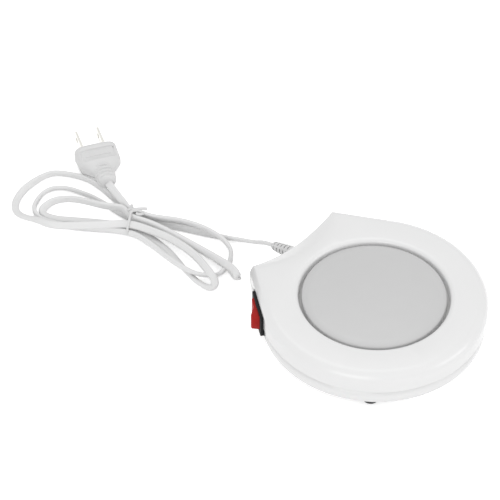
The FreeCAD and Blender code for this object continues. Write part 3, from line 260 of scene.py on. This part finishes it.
finishes = {
    # polished ABS mouldings of the case: bright, near neutral, with soft broad highlights
    "case_white": {
        "name": "polishedAbs", "colour": "#EDEDED", "second": "#EBEBEB", "roughness": 0.24, "ior": 1.53,
        "drift": 22, "grain": 0.9, "relief": 0.0015, "roughSpread": 0.03},
    # baked satin enamel over the spun aluminium plate: light grey, faintly mottled
    "plate_aluminium": {
        "name": "satinEnamel", "colour": "#CECECE", "second": "#CBCBCB", "roughness": 0.34, "ior": 1.5,
        "drift": 14, "grain": 0.45, "relief": 0.003, "roughSpread": 0.05},
    # moulded silicone ring, dull: its pale grey is set lighter than a mid grey rubber, painted light that
    # brightens the shaded groove round the plate
    "seal_rubber": {
        "name": "mouldedSilicone", "colour": "#D6D6D5", "second": "#CFCFCE", "roughness": 0.62,
        "ior": 1.41, "drift": 6, "grain": 0.5, "relief": 0.01, "roughSpread": 0.08},
    # bonded mica sheet: flaky tan
    "heater_mica": {
        "name": "bondedMica", "colour": "#A08A62", "second": "#7E6A48", "roughness": 0.45, "ior": 1.58,
        "drift": 3, "grain": 0.8, "relief": 0.02, "roughSpread": 0.12},
    # pressed ceramic fibre: pale, matt, lumpy
    "insulation_fibre": {
        "name": "ceramicFibre", "colour": "#DCD7C8", "second": "#CFC8B6", "roughness": 0.95, "drift": 4,
        "grain": 0.5, "relief": 0.12, "roughSpread": 0.04},
    # zinc plated sheet steel: cool bright grey with a crystalline drift
    "zinc_steel": {
        "name": "zincPlatedSteel", "colour": "#C4C7CA", "second": "#AEB2B6", "roughness": 0.34,
        "metallic": 1.0, "drift": 2.5, "grain": 0.3, "relief": 0.004, "roughSpread": 0.1},
    # plain drawn screw steel: duller and warmer than the zinc
    "screw_steel": {
        "name": "plainScrewSteel", "colour": "#B3B3B1", "second": "#9D9D9B", "roughness": 0.3,
        "metallic": 1.0, "drift": 1.5, "grain": 0.2, "relief": 0.004, "roughSpread": 0.08},
    # black nitrile feet: matt, slightly dusty
    "foot_rubber": {
        "name": "nitrileRubber", "colour": "#2A2A2B", "second": "#353536", "roughness": 0.7, "ior": 1.52,
        "drift": 3, "grain": 0.3, "relief": 0.012, "roughSpread": 0.1},
    # glass filled nylon of the switch body: near black with a low sheen
    "switch_black": {
        "name": "filledNylon", "colour": "#121214", "second": "#19191B", "roughness": 0.6, "ior": 1.28,
        "drift": 5, "grain": 0.25, "relief": 0.004, "roughSpread": 0.06},
    # moulded polycarbonate rocker: deep red, its shine kept low so that the red stays clear
    "rocker_red": {
        "name": "redPolycarbonate", "colour": "#B21710", "second": "#A3140E", "roughness": 0.5,
        "ior": 1.3, "drift": 6, "grain": 0.4, "relief": 0.002, "roughSpread": 0.04},
    # moulded acetal: creamy white, waxy
    "plunger_white": {
        "name": "acetalPlunger", "colour": "#E4E2DA", "second": "#DAD8D0", "roughness": 0.4, "ior": 1.48,
        "drift": 3, "grain": 0.3, "relief": 0.004, "roughSpread": 0.05},
    # rolled brass strip: yellow, streaked bright and dull
    "contact_brass": {
        "name": "rolledBrass", "colour": "#C9A65A", "second": "#B48F45", "roughness": 0.3,
        "metallic": 1.0, "drift": 3, "grain": 0.2, "relief": 0.003, "roughSpread": 0.1},
    # pressed phenolic: warm black, half matt
    "thermostat_black": {
        "name": "phenolicBlack", "colour": "#1B1A19", "second": "#262422", "roughness": 0.5, "ior": 1.6,
        "drift": 3, "grain": 0.3, "relief": 0.01, "roughSpread": 0.08},
    # tinned copper can: grey white metal
    "fuse_metal": {
        "name": "tinnedCopper", "colour": "#C6C2BA", "second": "#B5AFA5", "roughness": 0.32,
        "metallic": 1.0, "drift": 2, "grain": 0.2, "relief": 0.004, "roughSpread": 0.1},
    # braided glass sleeve: off white, matt and rough
    "sleeve_fabric": {
        "name": "braidedGlassSleeve", "colour": "#E6E1D2", "second": "#D3CCBA", "roughness": 0.85,
        "drift": 1.0, "grain": 0.35, "relief": 0.08, "roughSpread": 0.06},
    # extruded PVC of the inner wires and moulded nylon of connector and clamp: smooth, a low sheen
    "wire_brown": {
        "name": "brownWirePvc", "colour": "#5A3523", "second": "#4C2B1B", "roughness": 0.42, "ior": 1.53,
        "drift": 4, "grain": 0.3, "relief": 0.004, "roughSpread": 0.06},
    "wire_blue": {
        "name": "blueWirePvc", "colour": "#2E5C97", "second": "#264E83", "roughness": 0.42, "ior": 1.53,
        "drift": 4, "grain": 0.3, "relief": 0.004, "roughSpread": 0.06},
    "connector_plastic": {
        "name": "nylonConnector", "colour": "#D9D6CB", "second": "#CFCBBE", "roughness": 0.45,
        "ior": 1.53, "drift": 4, "grain": 0.3, "relief": 0.006, "roughSpread": 0.06},
    "clamp_black": {
        "name": "clampNylon", "colour": "#222223", "second": "#2C2C2E", "roughness": 0.46, "ior": 1.53,
        "drift": 4, "grain": 0.3, "relief": 0.006, "roughSpread": 0.06},
    # soft extruded PVC of the cord, and the same stock moulded for plug and strain relief
    "cord_white": {
        "name": "extrudedPvc", "colour": "#E8E8E8", "second": "#E4E4E4", "roughness": 0.4, "ior": 1.53,
        "drift": 9, "grain": 0.7, "relief": 0.004, "roughSpread": 0.06},
    "moulded_white": {
        "name": "mouldedPvc", "colour": "#DEDEDE", "second": "#DADADA", "roughness": 0.44, "ior": 1.53,
        "drift": 6, "grain": 0.5, "relief": 0.006, "roughSpread": 0.06},
    # paper and film laminate of the twist tie
    "tie_white": {
        "name": "tieLaminate", "colour": "#E2E2E2", "second": "#D6D6D6", "roughness": 0.5, "ior": 1.5,
        "drift": 2.5, "grain": 0.3, "relief": 0.02, "roughSpread": 0.08},
    # nickel over brass blades: pale grey, drawn smooth
    "blade_brass": {
        "name": "nickelPlatedBrass", "colour": "#E9E8E4", "second": "#DEDCD6", "roughness": 0.26,
        "metallic": 1.0, "drift": 3, "grain": 0.2, "relief": 0.002, "roughSpread": 0.08},
}

materials = {slot: stockMaterial(surface["name"], surface) for slot, surface in finishes.items()}
say("materials")


# Flat two-core cord: the route of the lead, the hank and the tail, as control points of one smooth spline.
# Each spot is x, y, z and turn: at 0 the cord lies flat, and at 90 it stands on edge.

cord = {
    "length": 0.985,
    "width": 4.2,
    # the drawn section: rounded edges, and how far their centres stand from the middle, which makes
    # it 0.2 mm wider than the width above
    "edgeRadius": 1.15,
    "edgeReach": 1.05,
    "edgeSteps": 8,
    "smoothness": 12,
    "doubles": 0.05,
}
leadSpots = [
    (0.0, 74.4, 10.1, 140), (0.0, 80.6, 8.3, 139), (-0.6, 88.0, 3.6, 139), (-5.3, 99.5, 1.9, 133),
    (-11.4, 107.5, 2.1, 104), (-17.9, 122.1, 2.2, 58), (-25.6, 135.7, 2.1, 50),
    (-31.5, 146.2, 2.2, 62),
]
hankSpots = [
    # waist, then the outer left loop
    (-33.2, 155.2, 2.6, 87), (-31.2, 171.7, 2.2, 88), (-30.2, 183.8, 2.2, 91),
    (-31.2, 195.5, 2.2, 101), (-38.8, 209.3, 2.1, 108), (-45.5, 213.0, 2.2, 95),
    (-56.1, 213.3, 2.1, 68), (-65.0, 212.1, 1.6, 22), (-73.5, 207.5, 1.5, 24), (-77.9, 201.0, 1.6, 14),
    (-77.7, 193.0, 3.0, 19), (-75.0, 185.5, 4.6, 2), (-73.5, 175.7, 5.7, -19),
    (-64.5, 166.5, 5.8, -28), (-52.9, 156.0, 6.0, -28),
    # waist, then the middle right loop
    (-41.7, 146.0, 6.4, -27), (-37.3, 134.3, 6.2, -43), (-33.2, 120.4, 6.0, -40),
    (-32.4, 103.3, 5.7, -33), (-36.0, 88.8, 5.7, -26), (-38.3, 80.0, 4.9, 7), (-42.7, 79.0, 2.9, 2),
    (-43.5, 88.0, 1.7, -29), (-43.0, 95.5, 1.8, -38), (-37.1, 123.3, 1.4, -3),
    # waist, then the inner left loop
    (-40.2, 147.6, 2.6, -3), (-56.9, 171.6, 1.4, 4), (-66.6, 182.6, 1.4, 12), (-68.2, 192.5, 1.6, -21),
    (-58.3, 193.0, 3.3, -61), (-50.8, 186.5, 4.6, -89), (-46.5, 177.3, 5.6, -92),
    (-41.9, 166.3, 6.2, -83), (-35.1, 157.7, 6.4, -88),
    # waist, then the long narrow right loop
    (-38.3, 149.7, 6.4, -76), (-33.4, 138.5, 6.3, -69), (-29.9, 120.3, 6.0, -59),
    (-27.7, 104.7, 5.7, -58), (-25.8, 89.0, 5.7, -57), (-25.4, 80.4, 5.7, -45),
    (-27.4, 75.0, 5.7, -25), (-26.6, 75.6, 1.6, -15), (-24.8, 83.5, 2.0, -45), (-24.3, 92.3, 2.2, -85),
    (-24.9, 107.0, 2.2, -94), (-27.2, 122.5, 2.2, -91),
    # waist, then the middle left loop
    (-36.9, 151.3, 2.6, -92), (-38.3, 177.1, 2.1, -72), (-40.7, 186.7, 2.1, -66),
    (-44.9, 198.4, 2.0, -53), (-54.2, 203.7, 2.1, -60), (-67.9, 198.1, 2.2, -84),
    (-71.2, 192.3, 2.2, -94), (-72.2, 184.4, 2.2, -90), (-63.5, 169.0, 2.2, -88),
    # waist, then the outer right loop
    (-43.2, 144.3, 2.6, -96), (-42.4, 128.5, 3.2, -92), (-44.7, 111.7, 5.3, -98),
    (-44.3, 97.8, 5.8, -108), (-41.0, 90.6, 4.5, -128), (-32.7, 85.2, 2.0, -130),
    (-27.0, 85.6, 2.1, -106), (-21.5, 87.1, 2.2, -87), (-16.3, 91.0, 2.2, -83),
    (-13.0, 95.1, 3.0, -78), (-12.1, 103.2, 5.0, -70), (-14.2, 115.3, 5.8, -70),
    (-19.2, 128.1, 6.0, -66), (-28.7, 140.0, 6.3, -73), (-34.5, 153.8, 6.4, -93),
]
tailSpots = [
    (-32.4, 162.6, 6.5, -152), (-30.3, 171.3, 6.6, -153), (-28.3, 178.5, 6.9, -154),
]


def cordLine(spots):
    # the centreline, read from one smooth spline with the spots as its control points
    curve = bpy.data.curves.new("cordLine", "CURVE")
    curve.dimensions = "3D"
    curve.resolution_u = cord["smoothness"]
    spline = curve.splines.new("NURBS")
    spline.points.add(len(spots) - 1)
    for point, (x, y, z, turn) in zip(spline.points, spots):
        point.co = (x * mm, y * mm, z * mm, 1)
    spline.order_u = 3
    spline.use_endpoint_u = True
    holder = bpy.data.objects.new("cordLine", curve)
    bpy.context.collection.objects.link(holder)
    bpy.context.view_layer.update()
    read = meshOf(holder)
    line = [vert.co.copy() for vert in read.vertices]
    bpy.data.objects.remove(holder)
    bpy.data.meshes.remove(read)
    return line


def turnsAlong(spots, count):
    # the spline comes nearest to each spot half a span before its number, so its turn is read there
    spans = len(spots) - 2
    marks = [0.0] + [number + 0.5 for number in range(spans)] + [float(spans)]
    turns = []
    for step in range(count):
        reach = spans * step / (count - 1)
        after = next((number for number, mark in enumerate(marks) if mark >= reach and number),
                     len(marks) - 1)
        share = (reach - marks[after - 1]) / (marks[after] - marks[after - 1])
        share = share * share * (3 - 2 * share)
        turns.append(spots[after - 1][3] * (1 - share) + spots[after][3] * share)
    return turns


def cordSection():
    # outline of the flat oblong: half a circle round one edge, then round the other
    outline = []
    for side in (1, -1):
        for step in range(cord["edgeSteps"] + 1):
            angle = math.pi / 2 * (2 * step / cord["edgeSteps"] - 1)
            outline.append((side * (cord["edgeReach"] + cord["edgeRadius"] * math.cos(angle)) * mm,
                            side * cord["edgeRadius"] * math.sin(angle) * mm))
    return outline


def joinRings(work, pairs):
    for near, far in pairs:
        for here in range(len(near)):
            there = (here + 1) % len(near)
            work.faces.new((near[here], near[there], far[there], far[here]))


def capRings(work, rings):
    work.faces.new(rings[0])
    work.faces.new(rings[-1][::-1])


def addCord():
    spots = leadSpots + hankSpots + tailSpots
    line = cordLine(spots)
    turns = turnsAlong(spots, len(line))
    near = cord["doubles"] * mm
    apart = [number for number in range(len(line))
             if not number or (line[number] - line[number - 1]).length > near]
    line = [line[number] for number in apart]
    turns = [turns[number] for number in apart]
    outline = cordSection()
    work = bmesh.new()
    rings = []
    for number, (spot, degrees) in enumerate(zip(line, turns)):
        way = (line[min(number + 1, len(line) - 1)] - line[max(number - 1, 0)]).normalized()
        side = way.cross(up).normalized()
        over = side.cross(way)
        turn = math.radians(degrees)
        broad = side * math.cos(turn) + over * math.sin(turn)
        thin = way.cross(broad)
        rings.append([work.verts.new(spot + broad * x + thin * y) for x, y in outline])
    joinRings(work, zip(rings, rings[1:]))
    capRings(work, rings)
    bmesh.ops.recalc_face_normals(work, faces=work.faces)
    piece = newPiece("powerCord", work, 60)
    finishPiece(piece, "case", materials["cord_white"])
    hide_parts("cord_lead", "cord_hank", "cord_tail")
    lowest = min(vert.co.z for vert in piece.data.vertices)
    length = sum((after - before).length for before, after in zip(line, line[1:]))
    print("cord: length %.4f, lowest %.5f, sections %d" % (length, lowest, len(line)))
    return piece, line


powerCord, cordPath = addCord()
say("cord")


# Twist tie round the waist of the hank, its ends twisted together and laid to the right

tie = {
    "centre": (-38.2, 149.8, 4.55),
    "across": (0.674, 0.739, 0.0),
    "along": (0.739, -0.674, 0.0),
    "halfAcross": 10.2,
    "halfTall": 4.5,
    "squareness": 2.6,
    "slant": 1.3,
    "bow": 0.7,
    "width": 1.35,
    "thickness": 0.75,
    "endWidth": 1.6,
    "endThickness": 0.95,
    "loopSteps": 72,
    "strandSteps": 8,
    "sides": 10,
    # powers that draw the strip's section out from an oval
    "broadRound": 0.6,
    "thinRound": 0.8,
    "knot": (1.0, 1.6, 4.7),
    "strands": [
        # offsets from the knot, along the hank, across it and up
        [(-2.2, 1.6, -0.7), (-1.4, 0.9, 0.2), (0.2, 0.4, 0.7), (2.4, 0.7, 0.9), (5.2, 1.0, 0.9),
         (9.0, 1.1, 0.6)],
        [(-0.8, -0.9, -0.2), (0.4, -0.6, 0.6), (2.2, 0.2, 0.5), (4.6, -0.2, 0.2), (6.4, -0.9, -0.1),
         (6.3, -2.1, -0.5), (4.2, -2.3, -0.4), (2.6, -1.9, 0.1)],
        [(-1.8, 0.2, 0.4), (-0.6, 1.0, 0.8), (0.8, 0.2, 0.9), (0.4, -1.2, 0.6), (-0.9, -1.3, 0.2)],
    ],
}


def ribbon(work, line, flats, width, thickness, closed):
    # rounded flat strip along a line, its broad side lying towards the given directions
    rings = []
    for number, (spot, flat) in enumerate(zip(line, flats)):
        before = line[number - 1] if closed or number else line[0]
        after = line[(number + 1) % len(line)] if closed or number < len(line) - 1 else line[-1]
        way = (after - before).normalized()
        broad = (flat - way * flat.dot(way)).normalized()
        thin = way.cross(broad)
        rings.append([])
        for step in range(tie["sides"]):
            angle = math.tau * step / tie["sides"]
            across = drawnOut(math.cos(angle), tie["broadRound"]) * width / 2
            tall = drawnOut(math.sin(angle), tie["thinRound"]) * thickness / 2
            rings[-1].append(work.verts.new(spot + broad * across + thin * tall))
    joinRings(work, list(zip(rings, rings[1:])) + ([(rings[-1], rings[0])] if closed else []))
    if not closed:
        capRings(work, rings)


def smoothLine(points, steps):
    # quadratic blend through the middles of the runs
    line = [points[0]]
    middles = [(a + b) / 2 for a, b in zip(points, points[1:])]
    for before, corner, after in zip(middles, points[1:-1], middles[1:]):
        for step in range(steps):
            share = step / steps
            line.append(before * (1 - share) ** 2 + corner * 2 * share * (1 - share) + after * share ** 2)
    line.append(middles[-1])
    line.append(points[-1])
    return line


def addTie():
    centre = Vector(tie["centre"]) * mm
    across = Vector(tie["across"]).normalized()
    along = Vector(tie["along"]).normalized()
    power = 2 / tie["squareness"]
    work = bmesh.new()
    line = []
    for step in range(tie["loopSteps"]):
        angle = math.tau * step / tie["loopSteps"]
        out = drawnOut(math.cos(angle), power)
        high = drawnOut(math.sin(angle), power)
        lean = tie["slant"] * out + tie["bow"] * high * (1 - out * out)
        level = across * out * tie["halfAcross"]
        line.append(centre + (level + up * high * tie["halfTall"] + along * lean) * mm)
    ribbon(work, line, [along] * len(line), tie["width"] * mm, tie["thickness"] * mm, True)
    knotFar, knotAside, knotHigh = tie["knot"]
    for spots in tie["strands"]:
        points = []
        for far, aside, high in spots:
            out = along * (knotFar + far) + across * (knotAside + aside) + up * (knotHigh + high)
            points.append(centre + out * mm)
        strand = smoothLine(points, tie["strandSteps"])
        ribbon(work, strand, [across + up] * len(strand), tie["endWidth"] * mm,
               tie["endThickness"] * mm, False)
    bmesh.ops.recalc_face_normals(work, faces=work.faces)
    piece = newPiece("twistTie", work, 60)
    finishPiece(piece, "case", materials["tie_white"])
    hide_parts("twist_tie")
    return piece


twistTie = addTie()
say("twist tie")


# Plug: a flared face, a body with a sunk panel, then a ribbed neck and a collar

plug = {
    "face": (-15.4, 205.0, 6.9),
    "turn": 64.0,
    "sections": [
        # distance behind the face, half width, half height, squareness
        (0.0, 10.4, 4.9, 4.4), (0.25, 11.2, 5.6, 4.2), (0.9, 11.9, 6.1, 4.0), (1.8, 12.3, 6.35, 4.0),
        (2.9, 12.4, 6.35, 3.9), (3.5, 12.35, 6.15, 3.8), (5.0, 12.3, 5.95, 3.7), (10.0, 12.15, 5.75, 3.6),
        (13.0, 12.0, 5.55, 3.5), (13.5, 11.8, 5.5, 3.4), (14.0, 11.4, 5.4, 3.3), (17.0, 8.9, 4.85, 3.0),
        (19.6, 6.8, 4.4, 2.6), (20.6, 5.8, 4.0, 2.4), (21.0, 4.8, 3.4, 2.2),
    ],
    "neck": [
        (15.2, 4.0, 3.6, 2.0), (15.6, 5.9, 4.85, 2.1), (17.2, 5.8, 4.7, 2.1), (17.6, 6.1, 5.6, 2.1),
        (18.5, 6.05, 5.5, 2.1), (18.9, 5.65, 4.6, 2.1), (19.8, 5.6, 4.55, 2.1), (20.2, 5.95, 5.4, 2.1),
        (21.1, 5.9, 5.3, 2.1), (21.5, 5.5, 4.5, 2.1), (22.3, 5.45, 4.45, 2.1), (22.7, 5.8, 5.25, 2.1),
        (23.6, 5.75, 5.15, 2.0), (24.0, 5.35, 4.4, 2.0), (24.8, 5.3, 4.35, 2.0), (25.2, 5.6, 5.05, 2.0),
        (26.0, 5.55, 4.95, 2.0), (26.4, 5.2, 4.3, 2.0), (27.0, 5.2, 4.4, 2.0), (27.7, 5.15, 4.65, 2.0),
        (28.5, 4.8, 4.4, 2.0), (29.0, 4.3, 4.0, 2.0), (29.3, 3.7, 3.4, 2.0), (29.45, 3.1, 2.9, 2.0),
    ],
    "sides": 64,
    "broadSide": 5.62,
    "above": 9.0,
    "panel": {"near": 4.4, "far": 13.4, "halfWidth": 9.7, "depth": 1.05, "soften": 0.6},
    "groove": {"near": 9.0, "far": 10.3, "halfWidth": 7.2, "depth": 1.45, "soften": 0.35},
    "bladeSpacing": 12.7,
    "bladeLength": 16.5,
    "bladeRoot": 5,
    "bladeWidth": 6.3,
    "bladeThickness": 1.5,
    "bladeSoften": 0.5,
    "hole": {"radius": 1.5, "depth": 4, "fromTip": 4.5, "sides": 24},
    "sharpFrom": 35,
    "bladeSharpFrom": 40,
}


def plugPlace():
    # local X runs out of the face, local Z stays up
    turn = Matrix.Rotation(math.radians(plug["turn"]), 4, "Z")
    return Matrix.Translation(Vector(plug["face"]) * mm) @ turn


def slab(work, low, high, place, soften):
    # a box between two corners with its edges rounded
    made = bmesh.ops.create_cube(work, size=1.0)["verts"]
    size = [(b - a) * mm for a, b in zip(low, high)]
    middle = [(a + b) / 2 * mm for a, b in zip(low, high)]
    bmesh.ops.scale(work, vec=size, verts=made)
    bmesh.ops.translate(work, vec=middle, verts=made)
    edges = list({edge for vert in made for edge in vert.link_edges})
    bevelled = bmesh.ops.bevel(work, geom=edges, offset=soften * mm, offset_type="OFFSET", segments=4,
                               profile=0.5, affect="EDGES", material=-1)["verts"]
    bmesh.ops.transform(work, matrix=place, verts=list(set(bevelled)))


def combine(piece, makeTools, way):
    # cuts the tools out of the piece, or joins them to it
    work = bmesh.new()
    makeTools(work)
    tools = newPiece("tools", work)
    addModifier(piece, "BOOLEAN", object=tools, operation=way, solver="EXACT", use_self=True)
    applyModifiers(piece)
    bpy.data.objects.remove(tools)


def addPlug():
    place = plugPlace()
    # loft axis: local Z of the sections points back from the face, their X across, their Y up
    axis = place @ Matrix(((0, 0, -1, 0), (-1, 0, 0, 0), (0, 1, 0, 0), (0, 0, 0, 1)))
    work = bmesh.new()
    loft(work, plug["sections"], plug["sides"], axis)
    piece = newPiece("plugBody", work, plug["sharpFrom"])

    def tools(work):
        for face in (1, -1):
            for pocket in (plug["panel"], plug["groove"]):
                low, high = sorted((face * (plug["broadSide"] - pocket["depth"]), face * plug["above"]))
                slab(work, (-pocket["far"], -pocket["halfWidth"], low),
                     (-pocket["near"], pocket["halfWidth"], high), place, pocket["soften"])

    combine(piece, tools, "DIFFERENCE")
    combine(piece, lambda work: loft(work, plug["neck"], plug["sides"], axis), "UNION")
    shadeSmooth(piece, plug["sharpFrom"])
    finishPiece(piece, "case", materials["moulded_white"])
    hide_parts("plug_body")
    return piece


def addBlades():
    place = plugPlace()
    work = bmesh.new()
    thin, broad = plug["bladeThickness"] / 2, plug["bladeWidth"] / 2
    for side in (-1, 1):
        middle = side * plug["bladeSpacing"] / 2
        blade = bmesh.new()
        slab(blade, (-plug["bladeRoot"], middle - thin, -broad),
             (plug["bladeLength"], middle + thin, broad), place, plug["bladeSoften"])
        mesh = bpy.data.meshes.new("blade")
        blade.to_mesh(mesh)
        blade.free()
        work.from_mesh(mesh)
        bpy.data.meshes.remove(mesh)
    piece = newPiece("plugBlades", work, plug["bladeSharpFrom"])

    def holes(work):
        hole = plug["hole"]
        out = (plug["bladeLength"] - hole["fromTip"]) * mm
        lie = Matrix.Rotation(math.pi / 2, 4, "X")
        for side in (-1, 1):
            middle = side * plug["bladeSpacing"] / 2 * mm
            made = bmesh.ops.create_cone(work, cap_ends=True, segments=hole["sides"],
                                         radius1=hole["radius"] * mm, radius2=hole["radius"] * mm,
                                         depth=hole["depth"] * mm)["verts"]
            spot = Matrix.Translation((out, middle, 0)) @ lie
            bmesh.ops.transform(work, matrix=place @ spot, verts=made)

    combine(piece, holes, "DIFFERENCE")
    shadeSmooth(piece, plug["bladeSharpFrom"])
    finishPiece(piece, "case", materials["blade_brass"])
    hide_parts("plug_blades")
    return piece


plugBody = addPlug()
plugBlades = addBlades()
say("plug")


# Strain relief

relief = {
    "root": (0.0, 59.4, 14.4),
    "droop": 16.0,
    "sections": [
        # distance from the wall, radius
        (-0.85, 3.5), (-0.6, 3.72), (0.4, 3.7), (4.0, 3.5), (8.0, 3.15), (12.0, 2.8), (14.4, 2.55),
        (15.2, 2.35), (15.6, 1.9),
    ],
    "sides": 48,
    "firstSlot": 1.9,
    "slotPitch": 2.75,
    "slotCount": 5,
    "slotWidth": 0.85,
    "slotFloor": 1.7,
    "slotTop": 6,
    "slotSoften": 0.12,
    "web": 0.5,
    # the neck through the wall and the flange behind it
    "neck": {"place": (0, 55.6, 14.4), "radius": 2.78, "length": 7, "middle": 3, "sides": 32},
    "flange": {"low": (-4.8, 53.7, 11.6), "high": (4.8, 55.7, 17.2), "soften": 0.3},
    "sharpFrom": 35,
}


def reliefRadius(far):
    for (near, before), (there, after) in zip(relief["sections"], relief["sections"][1:]):
        if far <= there:
            return before + (after - before) * (far - near) / (there - near)
    return relief["sections"][-1][1]


def addRelief():
    # local Z runs out along the drooping taper
    axis = Matrix.Translation(Vector(relief["root"]) * mm)
    axis = axis @ Matrix.Rotation(math.radians(-90 - relief["droop"]), 4, "X")
    work = bmesh.new()
    loft(work, [(far, radius, radius, 2.0) for far, radius in relief["sections"]], relief["sides"], axis)
    piece = newPiece("strainRelief", work, relief["sharpFrom"])

    def slots(work):
        for number in range(relief["slotCount"]):
            far = relief["firstSlot"] + relief["slotPitch"] * number
            half = reliefRadius(far) * math.sqrt(0.5) - relief["web"]
            for quarter in range(4):
                place = axis @ Matrix.Rotation(math.pi / 2 * quarter, 4, "Z")
                slab(work, (-half, relief["slotFloor"], far),
                     (half, relief["slotTop"], far + relief["slotWidth"]), place, relief["slotSoften"])

    def neck(work):
        stem = relief["neck"]
        lay = Matrix.Translation([far * mm for far in stem["place"]])
        lay = lay @ Matrix.Rotation(-math.pi / 2, 4, "X")
        bmesh.ops.create_cone(work, cap_ends=True, segments=stem["sides"], radius1=stem["radius"] * mm,
                              radius2=stem["radius"] * mm, depth=stem["length"] * mm,
                              matrix=lay @ Matrix.Translation((0, 0, stem["middle"] * mm)))

    def flange(work):
        slab(work, relief["flange"]["low"], relief["flange"]["high"], Matrix(), relief["flange"]["soften"])

    combine(piece, slots, "DIFFERENCE")
    combine(piece, neck, "UNION")
    combine(piece, flange, "UNION")
    shadeSmooth(piece, relief["sharpFrom"])
    finishPiece(piece, "case", materials["moulded_white"])
    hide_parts("strain_relief")
    return piece


strainRelief = addRelief()


# Case, plate, feet and switch

outside = {
    "topCover": {"node": "top_cover", "body": "case", "slot": "case_white", "smooth": 24},
    "baseCover": {"node": "base_cover", "body": "case", "slot": "case_white", "smooth": 24},
    "heatingPlate": {"node": "heating_plate", "body": "case", "slot": "plate_aluminium", "smooth": 24},
    "plateGasket": {"node": "plate_gasket", "body": "case", "slot": "seal_rubber", "smooth": 24},
    "switchHousing": {"node": "switch_housing", "body": "case", "slot": "switch_black", "smooth": 35,
                      "bevel": 0.35},
    "rockerCap": {"node": "rocker", "body": "rocker", "slot": "rocker_red", "smooth": 35, "bevel": 0.45},
}
plateEdge = {
    "radius": 38.2,
    "top": 26.0,
    "round": 2.5,
    "nearly": 0.01,
    "offRound": 0.05,
    # distance in from the rim and down from the top, at even steps round the edge's quarter turn
    "profile": [(4.4, 0.0), (3.2, 0.25), (1.7, 0.85), (0.5, 1.38), (0.06, 1.8), (0.0, 2.5)],
}


def squarePlateEdge(piece):
    # the plate's rolled edge: its round is drawn out to a shallow fall with a tight corner
    nearly = plateEdge["nearly"]
    reach = plateEdge["radius"] - plateEdge["round"]
    low = plateEdge["top"] - plateEdge["round"]
    last = len(plateEdge["profile"]) - 1
    for vert in piece.data.vertices:
        far = math.hypot(vert.co.x, vert.co.y) / mm
        out, high = far - reach, vert.co.z / mm - low
        away = abs(math.hypot(out, high) - plateEdge["round"])
        if out < -nearly or high < -nearly or away > plateEdge["offRound"]:
            continue
        step = math.atan2(max(out, 0), high) / (math.pi / 2) * last
        before = min(int(step), last - 1)
        share = step - before
        (inNear, downNear), (inFar, downFar) = plateEdge["profile"][before:before + 2]
        scale = (plateEdge["radius"] - inNear - (inFar - inNear) * share) / far
        vert.co.x *= scale
        vert.co.y *= scale
        vert.co.z = (plateEdge["top"] - downNear - (downFar - downNear) * share) * mm


for corner in ("front_left", "front_right", "rear_left", "rear_right"):
    words = corner.split("_")
    outside["foot" + words[0].title() + words[1].title()] = {
        "node": "foot_" + corner, "body": "case", "slot": "foot_rubber", "smooth": 30}
for name, facts in outside.items():
    made = fromNode(facts["node"], name, facts["smooth"], facts.get("bevel", 0.0))
    if name == "heatingPlate":
        squarePlateEdge(made)
    finishPiece(made, facts["body"], materials[facts["slot"]])
say("case, plate, feet and switch")


# Inside pieces keep their own meshes and take the finish of their slot

slotOf = {part["node"]: part["material_slot"] for part in frame["record"]["subparts"]}
for name, node in frame["nodes"].items():
    for socket in node.material_slots:
        socket.material = materials[slotOf[name]]
say("inside pieces")


# Floor, world and lamps

studio = {
    "floorReach": 4.0,
    "floorColour": "#F2F2F2",
    "floorGlow": 0.55,
    "worldLight": 0.68,
    "lamps": [
        # name, place, aim, size, power
        ("overhead", (0.25, 0.45, 1.5), (0, 0.05, 0), (1.2, 1.2), 5.1),
        ("leftFront", (-1.3, -0.6, 0.55), (0, 0.05, 0), (0.9, 0.7), 5.0),
        ("rightFront", (0.7, -1.3, 0.5), (0, 0.05, 0), (0.9, 0.5), 3.6),
    ],
}


def backdropSeen(material):
    # 1 for the rays that show the backdrop itself: straight from the camera, mirrored or through glass
    path = addNode(material, "ShaderNodeLightPath")
    seen = path.outputs["Is Camera Ray"]
    for kind in ("Is Glossy Ray", "Is Transmission Ray"):
        both = addNode(material, "ShaderNodeMath", {0: seen, 1: path.outputs[kind]}, operation="MAXIMUM")
        seen = both.outputs[0]
    return seen


def addFloor():
    work = bmesh.new()
    bmesh.ops.create_grid(work, x_segments=1, y_segments=1, size=studio["floorReach"])
    floor = newPiece("floor", work)
    material = bpy.data.materials.new("whiteSweep")
    material.use_nodes = True
    tree = material.node_tree
    tree.nodes.remove(tree.nodes["Principled BSDF"])
    matt = addNode(material, "ShaderNodeBsdfDiffuse", {"Color": toLinear(studio["floorColour"])})
    glow = addNode(material, "ShaderNodeMath", {0: backdropSeen(material), 1: studio["floorGlow"]},
                   operation="MULTIPLY")
    light = addNode(material, "ShaderNodeEmission", {"Strength": glow.outputs[0]})
    both = addNode(material, "ShaderNodeAddShader", {0: matt.outputs[0], 1: light.outputs[0]})
    wire(material, both.outputs[0], tree.nodes["Material Output"].inputs["Surface"])
    floor.data.materials.append(material)


def addWorld():
    world = bpy.data.worlds.new("softBox")
    world.use_nodes = True
    bpy.context.scene.world = world
    back = world.node_tree.nodes["Background"]
    back.inputs["Color"].default_value = (1, 1, 1, 1)
    level = addNode(world, "ShaderNodeMapRange",
                    {"Value": backdropSeen(world), "To Min": studio["worldLight"], "To Max": 1.0})
    wire(world, level.outputs["Result"], back.inputs["Strength"])


def addLamps():
    for name, place, aim, size, power in studio["lamps"]:
        lamp = bpy.data.lights.new(name, "AREA")
        lamp.shape = "RECTANGLE"
        lamp.size, lamp.size_y = size
        lamp.energy = power
        holder = bpy.data.objects.new(name, lamp)
        holder.location = place
        holder.rotation_euler = (Vector(aim) - Vector(place)).to_track_quat("-Z", "Y").to_euler()
        bpy.context.collection.objects.link(holder)


addFloor()
addWorld()
addLamps()
bpy.context.scene.view_settings.view_transform = "Standard"
say("studio")

bpy.context.view_layer.update()
